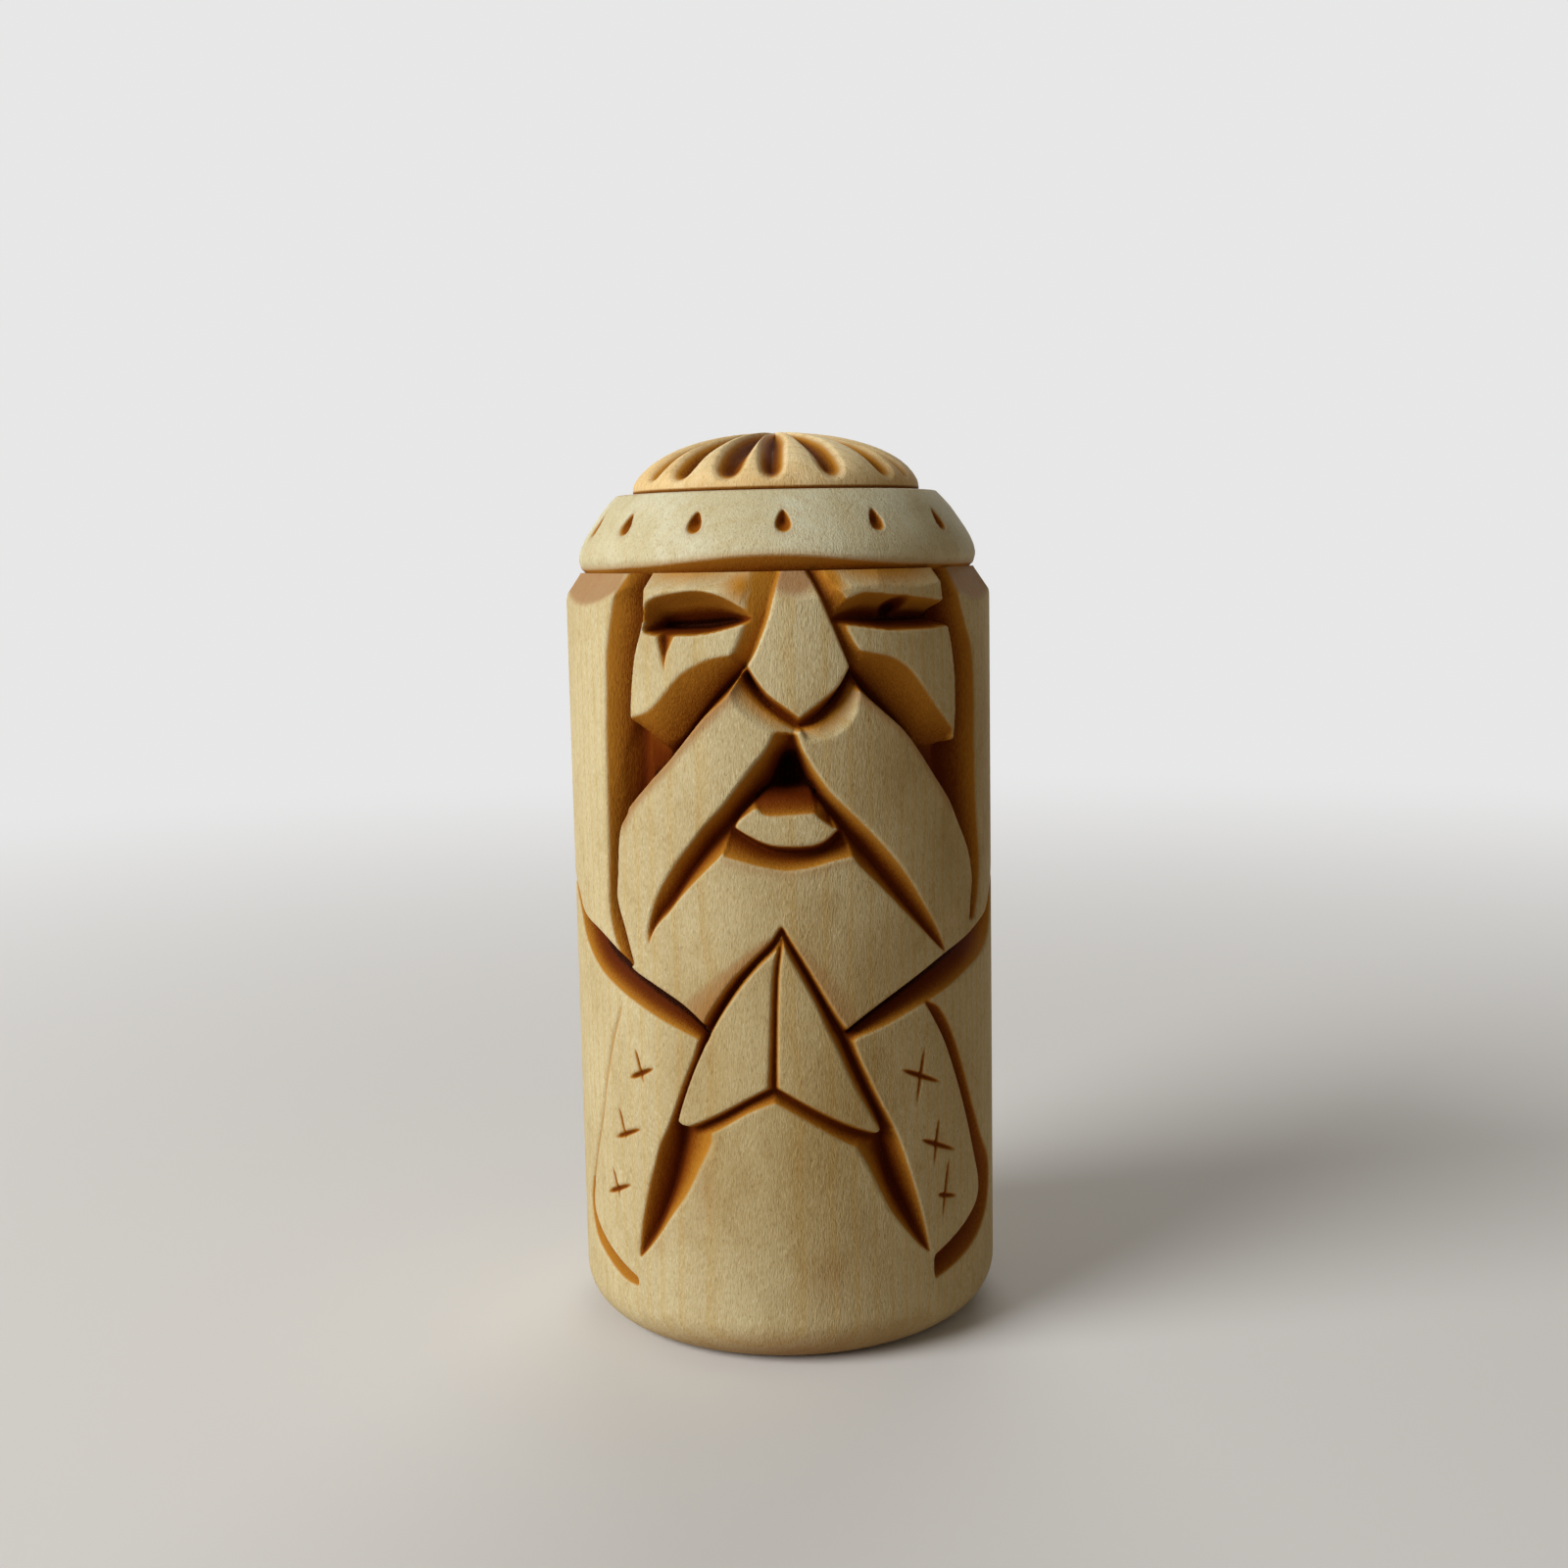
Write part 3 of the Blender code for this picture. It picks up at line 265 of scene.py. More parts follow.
CUTS["fold_left"] = (
    (0, (7.6, 51.6), (12, 49.5), (16.5, 48), (20, 46.9), (25, 45.2), (29.5, 43.6), (34, 41.7), (39.5, 39),
     (44, 36.7), (46.5, 34.8)),
    (0.76, (8.8, 49.3, 3), (12.5, 47.9, 2.5), (16.5, 46.4, 2.3), (19.8, 45.2, 2.1), (25, 43.4, 1.9),
     (29.5, 41.5, 1.6), (34, 39.7, 1.4), (39.2, 37.5, 1), (43.5, 35.8, 0.6), (46.4, 34.7, 0.1)),
    (0.12, (8.5, 48.8, 1.1), (12.3, 47, 0.3), (16.5, 45, 0.2), (19, 43.2), (24, 41.5), (28.5, 40), (33, 38.5),
     (38.5, 36.8), (43.2, 35.4), (46, 34.6)),
)
print(len(CUTS), "cuts with those of the mouth")

# %% Cuts below the beard
CUTS["collar_right"] = (
    (0.3, (-92, 40.6), (-82, 40.4), (-74, 39.2), (-68, 37.5), (-57, 36.5), (-47, 34.9), (-43, 33.8), (-35, 32.7),
     (-27, 31.4), (-21, 29.8), (-19.5, 29)),
    (1.35, (-92, 40.2, 0.8), (-82, 39.9, 0.9), (-74, 38.6, 1.1), (-68.5, 36.9, 1.6), (-58, 35.4, 1.8),
     (-48, 34, 1.9), (-42, 33.1, 1.9), (-35, 32.1, 1.9), (-27.5, 30.8, 1.8), (-22, 29.4, 1.6),
     (-20.5, 28.6, 1.3)),
    (0, (-92, 39.4), (-82, 39.2), (-74, 37.7), (-68, 35.2), (-59, 33.1), (-48, 31.5), (-40, 30.5), (-33, 29.6),
     (-26, 28.8), (-22, 28.3), (-21.5, 27.8)),
)
CUTS["collar_left"] = (
    (0.3, (92, 40.6), (84, 40.4), (77, 38.6), (71, 36.9), (64, 36.2), (56, 35.4), (46, 34.5), (34, 32.8),
     (24, 31.1), (17, 29.7), (15, 29.2)),
    (1.25, (92, 40.2, 0.8), (84, 39.9, 0.9), (77.5, 38, 1.2), (71.5, 36.3, 1.6), (64.5, 35.6, 1.8),
     (56, 34.8, 1.9), (46, 33.8, 1.9), (34, 32.2, 1.9), (24, 30.6, 1.8), (17.5, 29.2, 1.5), (15.8, 28.8, 1.2)),
    (0.05, (92, 39.4), (84, 39), (79, 36), (74, 34.1), (66, 33.1), (56, 32.3), (46, 31.2), (35, 30.2), (26, 29.2),
     (19, 28.6), (17, 28.2)),
)
CUTS["nape"] = (
    (0.05, (92, 40.6), (180, 40.8), (268, 40.6)),
    (0.75, (92, 40.2, 0.8), (180, 40.3, 1), (268, 40.2, 0.8)),
    (0.1, (92, 39.4), (180, 39.3), (268, 39.4)),
)
CUTS["fork_right"] = (
    (0.05, (-0.9, 37), (-2.4, 36.2), (-6.4, 35), (-11.6, 33), (-16.5, 30.7), (-19.6, 29), (-22, 27.5),
     (-25, 25.4), (-28.2, 22.7), (-30.4, 20.3)),
    (0.8, (-0.6, 37.9, 1), (-3, 36.6, 1.2), (-7.2, 35.2, 1.4), (-12.4, 33.2, 1.6), (-17.3, 30.9, 1.7),
     (-20.4, 29.1, 1.6), (-22.8, 27.4, 1.5), (-25.9, 25.1, 1.4), (-29.1, 22.4, 1.4), (-31.4, 20, 1.5)),
    (0.3, (-0.6, 38.4), (-3.7, 36.95), (-8, 35.5, 0.15), (-13.3, 33.7, 0.3), (-18.4, 31.4, 0.35),
     (-21.5, 29.6, 0.2), (-23.7, 27.3), (-26.8, 24.9), (-30.1, 22.2), (-32.6, 20.2)),
)
CUTS["fork_left"] = (
    (0, (-0.4, 37), (0.8, 36), (4, 34), (7.4, 31.8), (10.2, 29.6), (13, 27.6), (15.8, 25.4), (19, 23.3),
     (22.2, 21.4), (25, 19.9)),
    (0.75, (-0.6, 37.9, 1), (1.6, 36.5, 1.2), (5.2, 34.4, 1.4), (9, 32.1, 1.6), (12.4, 30.1, 1.7),
     (15.4, 28.4, 1.7), (18.2, 26.3, 1.6), (21.4, 24, 1.6), (24.4, 22, 1.6), (27.2, 19.9, 1.8)),
    (0.35, (-0.6, 38.4), (2.1, 36.85), (5.9, 34.7, 0.1), (9.7, 32.4, 0.3), (13.2, 30.4, 0.35), (16.2, 28.9, 0.2),
     (19, 26.6), (22.2, 24.3), (25.2, 22.2), (28.2, 20.4)),
)
CUTS["fork_middle"] = (
    (0.05, (-1.2, 37), (-3.1, 34), (-4.2, 28), (-4.9, 24.3)),
    (0.65, (-0.65, 37.3, 1), (-2.1, 34, 0.9), (-2.9, 28, 1), (-3.4, 24.2, 1.1)),
    (0.1, (-0.3, 37), (-1.5, 34), (-2.2, 28), (-2.2, 24.3)),
)
CUTS["fork_foot_right"] = (
    (0.05, (-3.3, 24.9), (-10, 23.7), (-18, 22.2), (-26, 20.9), (-30.3, 20.3)),
    (0.75, (-3.3, 24.3, 1.1), (-10, 23.2, 1.2), (-18, 21.7, 1.3), (-26, 20.4, 1.4), (-30.8, 19.8, 1.6)),
    (0.1, (-3.3, 23.3), (-10, 22.4), (-18, 20.8), (-26, 19.5), (-29.5, 19)),
)
CUTS["fork_foot_left"] = (
    (0.05, (-3.3, 24.9), (2, 23.8), (9, 22.4), (17, 21), (24.9, 19.9)),
    (0.75, (-3.3, 24.3, 1.1), (2, 23.2, 1.2), (9, 21.8, 1.3), (17, 20.4, 1.5), (25.4, 19.4, 1.8)),
    (0.1, (-3.3, 23.3), (2, 22.3), (9, 20.8), (17, 19.2), (24.5, 18.4)),
)
CUTS["chip_right"] = (
    (0.15, (-28.6, 23.5), (-32.4, 20.6), (-35.3, 19), (-37.4, 17), (-39.4, 15.1), (-41.5, 12.7), (-43, 10.5),
     (-43.9, 8.3)),
    (0.74, (-30.4, 21.2, 1.4), (-31.5, 19.9, 2.2), (-33.3, 17.3, 2.4), (-35.5, 15, 2.3), (-37.6, 13, 2),
     (-39.8, 11.1, 1.5), (-41.8, 9.6, 0.9), (-43.6, 8.3, 0.2)),
    (0.02, (-29.6, 20.6), (-19, 20.4), (-23, 17.2), (-27, 14.8), (-31.6, 12.8), (-36, 10.8), (-39.6, 9.4),
     (-43.3, 8.2)),
)
CUTS["chip_left"] = (
    (0.15, (25.2, 22.4), (29.2, 19.7), (31.4, 17.9), (33.2, 16.2), (35, 14.4), (36.8, 12.5), (38.4, 10.5),
     (39.6, 8.6)),
    (0.8, (26.4, 20.6, 1.5), (27.3, 19.1, 2.2), (29, 16.8, 2.4), (30.9, 15, 2.3), (33, 13.4, 2),
     (35.3, 11.7, 1.5), (37.3, 10, 0.8), (39.3, 8.6, 0.1)),
    (0.02, (25.2, 20), (17, 19.7), (20.5, 17.3), (23.5, 15.2), (26.6, 13.2), (30.6, 11.4), (34.7, 9.8),
     (38.8, 8.6)),
)
print(len(CUTS), "cuts with those below the beard")

# %% Cuts beside the lapels
CUTS["lapel_right"] = (
    (0, (-47.6, 31.2), (-48.1, 30), (-52, 27), (-56.6, 22.5), (-59, 19.6), (-63.5, 16), (-67, 12.8)),
    (0.12, (-47.9, 31.2, 0.12), (-48.5, 30, 0.3), (-52.5, 27.1, 0.28), (-57.1, 22.6, 0.27), (-59.6, 19.7, 0.28),
     (-64.2, 16.1, 0.3), (-68, 13, 0.38)),
    (0, (-48.3, 31.2), (-49.1, 30.1), (-53.2, 27.3), (-57.9, 22.8), (-60.4, 19.9), (-65, 16.3), (-69, 13.2)),
)
CUTS["hem_right"] = (
    (0.15, (-66.5, 13.2), (-68, 10.9), (-64, 9.3), (-57, 8), (-50, 7), (-45, 6.4)),
    (0.3, (-67.5, 13.2, 0.4), (-69.3, 10.6, 0.5), (-65.3, 8.8, 0.7), (-57.8, 7.4, 0.8), (-50.3, 6.4, 0.8),
     (-45, 5.9, 0.6)),
    (0.08, (-69, 13.4), (-71.5, 10.6), (-67.5, 8), (-59, 6.6), (-51, 5.6), (-45, 5.4)),
)
CUTS["lapel_left"] = (
    (0.35, (38.5, 30.6), (41.5, 29.2), (46, 26.8), (51, 23.2), (55.5, 19.6), (60, 15.6), (63, 12.8), (61.5, 11.2),
     (55.5, 10), (48, 9), (41.3, 8.2)),
    (0.65, (39, 30.7, 0.2), (42.3, 29.5, 0.7), (47, 27, 0.9), (52.2, 23.3, 1), (57, 19.7, 1), (62, 15.8, 1.1),
     (66, 12.9, 1.3), (64, 10.4, 1.4), (57, 9, 1.3), (48.8, 7.9, 1.2), (41.3, 7.1, 1.1)),
    (0.3, (39.6, 30.8), (44, 30), (49, 27.6), (54.5, 23.8), (59.5, 20.2), (65.5, 16.8), (73.4, 13.4), (71, 9.9),
     (62, 7.8), (51, 6.6), (41.3, 5.9)),
)
print(len(CUTS), "cuts in all")

# %% [markdown]
# ## Pressing the cuts into the skin
# The rows of a cut are drawn as smooth curves, and each small triangle between two rows is pressed into the
# skin: a grid point inside the triangle takes the depth of the triangle there, if that is deeper than what it
# had. Where two cuts meet the deeper one wins, as with a real blade.

# %% Draw smooth curves through the places
def curve_through(row, parts=4):
    """A smooth curve through places: on each stretch it leaves along the line that joins the neighbours."""
    ends = np.concatenate([2 * row[:1] - row[1:2], row, 2 * row[-1:] - row[-2:-1]])
    before, here, there, after = ends[:-3], ends[1:-2], ends[2:-1], ends[3:]
    t = (np.arange(parts) / parts)[None, :, None]
    leave, arrive = (there - before)[:, None] / 2, (after - here)[:, None] / 2
    curve = (
        (2 * t**3 - 3 * t**2 + 1) * here[:, None]
        + (t**3 - 2 * t**2 + t) * leave
        + (3 * t**2 - 2 * t**3) * there[:, None]
        + (t**3 - t**2) * arrive
    )
    return np.concatenate([curve.reshape(-1, 3), row[-1:]])


# %% Press triangles and whole cuts
def parted(written):
    """Parts a cut as it is written above into the stain of each row, and its places with their depths."""
    stains = [stain_and_shade for stain_and_shade, *_ in written]
    return stains, [np.array([(*place, 0.0)[:3] for place in places], float) for _, *places in written]


def near(places, margin=3):
    """The rows and columns of the grid that lie round some places, with a margin of a few steps."""
    low, high = places.min(0), places.max(0)
    bottom = max(0, np.searchsorted(row_height, low[1] - margin * STEP))
    top = np.searchsorted(row_height, high[1] + margin * STEP) + 1
    first = int((low[0] + 180.0) / turn_step) - margin
    last = int((high[0] + 180.0) / turn_step) + margin + 1
    return np.ix_(np.arange(ROWS)[bottom:top], np.arange(first, last) % COLUMNS)


def press(depth, tone, corners, stains):
    """Presses a flat triangle: a point's share of the three corners gives its depth and its stain."""
    block = near(corners)
    (a0, z0, d0), (a1, z1, d1), (a2, z2, d2) = corners
    area = (z1 - z2) * (a0 - a2) + (a2 - a1) * (z0 - z2)
    if abs(area) < 1e-9:
        return
    u, v = turn_from(a2, angle[block]), height[block] - z2
    share0 = ((z1 - z2) * u + (a2 - a1) * v) / area
    share1 = ((z2 - z0) * u + (a0 - a2) * v) / area
    share2 = 1 - share0 - share1
    inside = np.minimum(np.minimum(share0, share1), share2) > -1e-6
    for field, (f0, f1, f2) in ((depth, (d0, d1, d2)), (tone, stains)):
        found = share0 * f0 + share1 * f1 + share2 * f2
        field[block] = np.maximum(field[block], np.where(inside, found, 0.0))


def press_cut(depth, tone, stains, rows):
    """Presses a whole cut: two triangles in each small four-cornered patch between neighbouring rows."""
    curves = [curve_through(row) if len(row) > 2 else row for row in rows]
    for one, other, s0, s1 in zip(curves, curves[1:], stains, stains[1:]):
        for k in range(len(one) - 1):
            press(depth, tone, np.array([one[k], one[k + 1], other[k + 1]]), (s0, s0, s1))
            press(depth, tone, np.array([one[k], other[k + 1], other[k]]), (s0, s1, s1))


depth, tone = np.zeros((ROWS, COLUMNS)), np.zeros((ROWS, COLUMNS))
for written in CUTS.values():
    press_cut(depth, tone, *parted(written))
print("deepest cut", depth.max(), "mm")

# %% [markdown]
# ## The shoulder
# Under the headband the blank is sliced back all round, one flat slice beside another. A flat slice across a
# round stick reaches lowest in its middle, so each leaves a curved lower edge. How deep it goes at a point
# follows from the distance of the slice from the axis, divided by the cosine of the turn away from its middle.

# %% Slice the shoulder: the middle of each slice, its lowest point, and its inset at the top
SLICES = (
    (4, 65.0, 1.5), (-15, 65.8, 1.35), (-30, 65.9, 1.35), (-62, 64.5, 1.8), (-92, 64.6, 1.8), (20, 66.0, 1.2),
    (36, 65.8, 1.3), (66, 64.4, 1.8), (92, 64.6, 1.8), (114, 64.7, 1.8), (136, 64.4, 1.8), (158, 64.7, 1.8),
    (180, 64.5, 1.8), (202, 64.6, 1.8), (224, 64.4, 1.8), (246, 64.7, 1.8),
)
SLICE_REACH = 0.5
shoulder = np.zeros_like(depth)
for middle, lowest, inset in SLICES:
    turn = np.radians(turn_from(middle, angle))
    away = (height - lowest) / (body - lowest) * inset
    slice_depth = blank - (blank - away) / np.maximum(np.cos(turn), 0.2)
    shoulder = np.maximum(shoulder, np.where(np.abs(turn) < SLICE_REACH, slice_depth, 0.0))
print("shoulder sliced back by", shoulder[-1].min(), "to", shoulder[-1].max(), "mm")

# %% [markdown]
# ## Crosses, pupil and the locks of hair
# The crosses are single knife strokes, so they are thin valleys that run out at both ends. The pupil is a pit
# turned with the point of the blade. The hair at the back is guessed: plain locks with a cut between each two,
# a notch at its foot, and three thin strands on each lock.

# %% Crosses: each stroke's two ends, width and depth
def stroke(start, end, width, deep, parts=6):
    """A thin valley along a line, widest a third of the way along and closed at both ends."""
    start, end = np.array(start, float), np.array(end, float)
    t = np.linspace(0.0, 1.0, parts)[:, None]
    swell = np.sin(np.pi * t**0.8) ** 0.6
    line = start + (end - start) * t
    along = (end - start) * (mm_per_degree, 1.0)
    aside = np.array([-along[1], along[0]]) / np.hypot(*along) * width / 2 / (mm_per_degree, 1.0)
    flat = np.zeros((parts, 1))
    return (
        np.hstack([line + aside * swell, flat]),
        np.hstack([line, deep * swell]),
        np.hstack([line - aside * swell, flat]),
    )


CROSSES = (
    ((-46, 24.1), (-36, 25.6), .55, .4), ((-43.5, 27.2), (-40, 23.6), .35, .3),
    ((-53, 18.3), (-41, 20), .5, .4), ((-51, 21.5), (-47.5, 18.1), .35, .3),
    ((-58, 12.9), (-45.5, 14.7), .5, .4), ((-55, 15.7), (-51, 12.6), .35, .3),
    ((30, 25.4), (45, 23.2), .55, .4), ((38.5, 27.2), (35, 21.4), .4, .3),
    ((36, 18.9), (51, 16.7), .55, .4), ((43.5, 20.6), (41, 15.7), .4, .3),
    ((42, 13.5), (51, 12.6), .5, .4), ((47.5, 16.8), (44, 10.6), .4, .3),
)
for cross in CROSSES:
    press_cut(depth, tone, (0.2, 0.8, 0.2), stroke(*cross))
print(len(CROSSES) // 2, "crosses")

# %% Locks of hair at the back
LOCKS = 8
LOCK_TURN = 22.0
SIDE = 92.0
NAPE = 40.4
for k in range(LOCKS + 1):
    edge = SIDE + k * LOCK_TURN
    press_cut(depth, tone, (0.0, 0.8, 0.0), stroke((edge, 71), (edge, 40.3), 1.7, 1.1))
    notch = [
        np.array([(edge + 4.5 * sign, 40.9, deep), (edge + .4 * sign, rise + k % 3, shallow)])
        for sign, deep, rise, shallow in ((-1, 0, 44.5, 0), (0, 1.5, 44.6, .1), (1, 0, 44.5, 0))
    ]
    press_cut(depth, tone, (0.1, 0.8, 0.1), notch)
    for share, deep, lean, foot in ((0.3, .4, 2.0, 43.5), (0.52, .3, -1.0, 49.0), (0.74, .45, 1.0, 42.5)):
        if k < LOCKS:
            middle = edge + (share + 0.04 * math.sin(2.1 * k)) * LOCK_TURN
            low = foot + 2.0 * math.sin(1.7 * k + 5 * share)
            strand = stroke((middle, 66.5), (middle + lean * math.cos(1.3 * k), low), .75, deep)
            press_cut(depth, tone, (0.0, 0.45, 0.0), strand)
print(LOCKS, "locks of hair")

# %% Pupil of the left eye
PUPIL_TURN, PUPIL_HEIGHT = 33.0, 64.05
PUPIL_WIDE, PUPIL_TALL, PUPIL_DEEP = 1.15, 0.9, 0.7
pupil_reach = np.hypot((angle - PUPIL_TURN) * mm_per_degree / PUPIL_WIDE, (height - PUPIL_HEIGHT) / PUPIL_TALL)
depth += PUPIL_DEEP * np.clip(1.3 - pupil_reach, 0.0, 1.0)
tone = np.maximum(tone, 0.9 * np.clip(1.7 - 1.2 * pupil_reach, 0.0, 1.0))
print("pupil", PUPIL_DEEP, "mm deep")

# %% [markdown]
# ## Softened edges
# A blade leaves crisp rims, but sanding and oil take the last tenth of a millimetre off them. Averaging each
# point with its neighbours does the same. Before that, the stain is thinned where it was wiped off best: at the
# sides of the collar and at the top of the mouth.

# %% Soften the relief
def soften(field, reach):
    """Averages a field over neighbours with bell-shaped weights, round the turn and up the side."""
    count = max(1, int(3 * reach / STEP))
    steps = np.arange(-count, count + 1)
    weights = np.exp(-0.5 * (steps * STEP / reach) ** 2)
    weights = weights / weights.sum()
    turned = sum(w * np.roll(field, s, axis=1) for w, s in zip(weights, steps))
    padded = np.pad(turned, ((count, count), (0, 0)), mode="edge")
    return sum(w * padded[count + s : count + s + ROWS] for w, s in zip(weights, steps))


EDGE = 0.1
tone *= 1 - 0.5 * ramp(np.abs(angle), 58, 72) * (np.abs(height - 37) < 5)
tone *= 1 - 0.35 * np.clip(1.6 - np.hypot((angle - 2.8) / 4.5, (height - 53.9) / 1.1), 0.0, 1.0)
relief = soften(depth, EDGE)
full = soften(depth + shoulder * ramp(depth, 3.0, 0.0), 1.1 * EDGE)
print("relief", relief.max())

# %% [markdown]
# ## Where the stain and the painted shade sit
# Stain is brushed on thin and wiped off, so it stays where the cloth can't reach: it colours every cut amber,
# gathers dark in the corners, and soaks a little way into the end grain beside a cut. Four numbers at each
# point keep this: how much it is a cut, how much dark stain lies there, a soft blush, and the thin wash that
# was left on the skin, mostly low on the body. Single spots of each are put where the real one shows them.
# The same numbers carry painted shade too: deep pockets are painted darker, the tops of the brows under the
# headband take the band's shade, and the figure's left side, away from the window lamp, takes more wash.

# %% Cut and dark, with painted shade in deep pockets
def spot(middle, height_middle, wide, tall, strength, soft=1.0):
    """A spot of stain: full in its middle, and fading to nothing over the outer share of its reach."""
    spread = np.hypot(turn_from(middle, angle) * mm_per_degree / wide, (height - height_middle) / tall)
    return strength * np.clip((1.0 - spread) / soft, 0.0, 1.0)


soaked = np.clip(soften(tone, EDGE), 0.0, 1.0)
hollow_for_shade = relief - soften(depth, 1.5)
reach = ramp(relief, 0.02, 0.18)
cut = 0.6 * reach * np.clip(0.1 + soaked / 0.14, 0.0, 1.0) + 0.4 * ramp(soaked, 0.08, 0.58)
# The spots at the top of the nose and along the tops of the brows, under the headband, are partly stain and partly
# painted shade of the band.
for place in (
    (-5.5, 66.4, 1.5, 3.4, .7), (-9, 66.2, 2.6, 2.4, .62), (13.5, 66.4, 1.8, 3.0, .8), (-24, 68.4, 8, 2.6, .8),
    (30, 68.4, 9, 3.0, .9),
):
    cut = np.maximum(cut, soften(spot(*place), EDGE))
# The second part is painted shade: a point that lies deep below its wide surroundings is painted darker.
dark = soaked**1.3 + 0.35 * ramp(hollow_for_shade, 0.6, 2.2)
for place in (
    (-44.8, 50.2, 1.5, 3.2, .7, .7), (54.6, 49.5, 1.6, 3.2, .7, .7), (-13.5, 46.1, 1.3, .9, .8),
    (15.5, 46, 1.3, .9, .8),
):
    dark = np.maximum(dark, soften(spot(*place), EDGE) * reach)
dark = np.clip(dark, 0.0, 1.0)
print("amber on", round(100 * (cut > 0.5).mean(), 1), "and brown on", round(100 * (dark > 0.5).mean(), 1), "%")

# %% Blush, with painted shade under the headband
low_down = ramp(height, 46, 36)
blush_and_shade = np.clip(soften(np.clip(tone, 0.0, 1.0), 0.26) - 0.04, 0.0, 1.0) * (0.55 + 0.25 * low_down)
# The spots along the tops of the brows, just under the headband, are partly stain and partly painted shade of the
# band.
for place in (
    (-37, 13, 2.0, 4.5, .3), (35, 13, 2.0, 4.5, .2), (-22, 15.5, 1.5, 4.0, .3), (10, 8, 3, 3, .25),
    (-2, 1.0, 18, 3.2, .75), (4, 67.4, 2.6, 2.6, 1.0, .35), (-30, 67.2, 5, 1.6, .35), (30, 67.2, 6, 2.2, .6),
):
    blush_and_shade = np.maximum(blush_and_shade, spot(*place))
sliced = ramp(shoulder, 0.03, 0.15)
on_hair = ramp(np.abs(angle - 4), 46, 50)
blush_and_shade = np.maximum(blush_and_shade, sliced * (0.2 + 0.7 * on_hair))
print("blush up to", blush_and_shade.max())

# %% Halos: strips beside some cuts that the stain has soaked into
HALOS = {}
HALOS["over_fork_right"] = (
    (1, (-3.7, 36.8), (-8, 35.5), (-13.3, 33.7), (-18.4, 31.4), (-21.5, 29.6)),
    (0.45, (-3.6, 37.6), (-7, 36.7), (-12.5, 35.4), (-16.6, 34.3), (-26.5, 31.6)),
)
HALOS["over_fork_left"] = (
    (0.6, (2.1, 36.8), (5.9, 34.7), (9.7, 32.4), (13.2, 30.4), (16.2, 29)),
    (0.25, (2.4, 37.4), (7.2, 35.7), (11.5, 34.3), (15, 32.6), (18.5, 30.3)),
)
HALOS["under_scoop_right"] = (
    (1.2, (-11.5, 58.2), (-19.5, 55.5), (-25, 53.5), (-30, 51.7), (-36, 49.9), (-42, 48), (-45.5, 46.4)),
    (0.15, (-10.8, 56.8), (-18.4, 54.5), (-24.3, 52.6), (-29.5, 50.8), (-35.3, 49), (-41, 47.2), (-44.8, 45.3)),
)
HALOS["under_scoop_left"] = (
    (0.9, (19, 57.9), (22.5, 56.8), (28, 55.4), (33.5, 53.9), (38.5, 51.9), (43, 50), (50, 47.2)),
    (0.1, (18.4, 56.5), (21.8, 55.8), (27.3, 54.5), (32.7, 53), (37.8, 51.1), (42.2, 49.2), (49, 46.3)),
)
HALOS["under_chin"] = (
    (0.5, (-15, 44), (-10, 43.6), (-5, 43.2), (1, 42.9), (7, 43.1), (12, 43.5), (18, 43.8)),
    (0, (-16, 42.8), (-10, 42.6), (-5, 42.2), (1, 41.9), (7, 42.1), (12, 42.5), (19, 42.8)),
)
tint, no_depth = np.zeros_like(depth), np.zeros_like(depth)
for halo in HALOS.values():
    press_cut(no_depth, tint, *parted(halo))
blush_and_shade = np.clip(soften(np.maximum(blush_and_shade, tint), 0.16), 0.0, 1.0)
cut = np.maximum(cut, 0.26 * np.clip(soften(tint, 0.2), 0.0, 1.0))
print(len(HALOS), "halos")

# %% Wash, with painted shade on the figure's left
across_front = np.abs((angle + 1) * mm_per_degree)
wash_and_shade = 0.75 * ramp(across_front, 11.5, 7.5) * ramp(height, 50, 30)
wash_and_shade *= 0.35 + 0.65 * ramp(height, 5, 17)
# The spots at plus angles, on the figure's left, darken the side that faces away from the window lamp: partly
# stain, partly painted shade.
for place in (
    (30, 50, 11, 14, .5), (40, 62, 6, 8, .4), (66, 45, 9, 44, .6), (36, 36, 8, 6, .5), (50, 47, 7, 12, .95),
    (-11, 40.3, 2.2, 1.4, 1.0), (4, 40.6, 2.4, 1.5, 1.0), (-6, 38.4, 1.8, 2.2, .9), (9, 9, 3.4, 3.0, 1.0),
    (-14, 12, 3.0, 4.0, .9),
):
    wash_and_shade = np.maximum(wash_and_shade, spot(*place))
wash_and_shade = soften(wash_and_shade, 0.9)
print("wash up to", wash_and_shade.max())

# %% [markdown]
# ## The masses as separate pieces
# On the real block the masses are one wood, and the cuts are what parts them. Here each mass becomes its own
# closed piece, parted along the floors of the cuts, where a seam can't be seen. Its outline is the list of chart
# points that the CAD solids use, and its sides run straight in towards the heart.

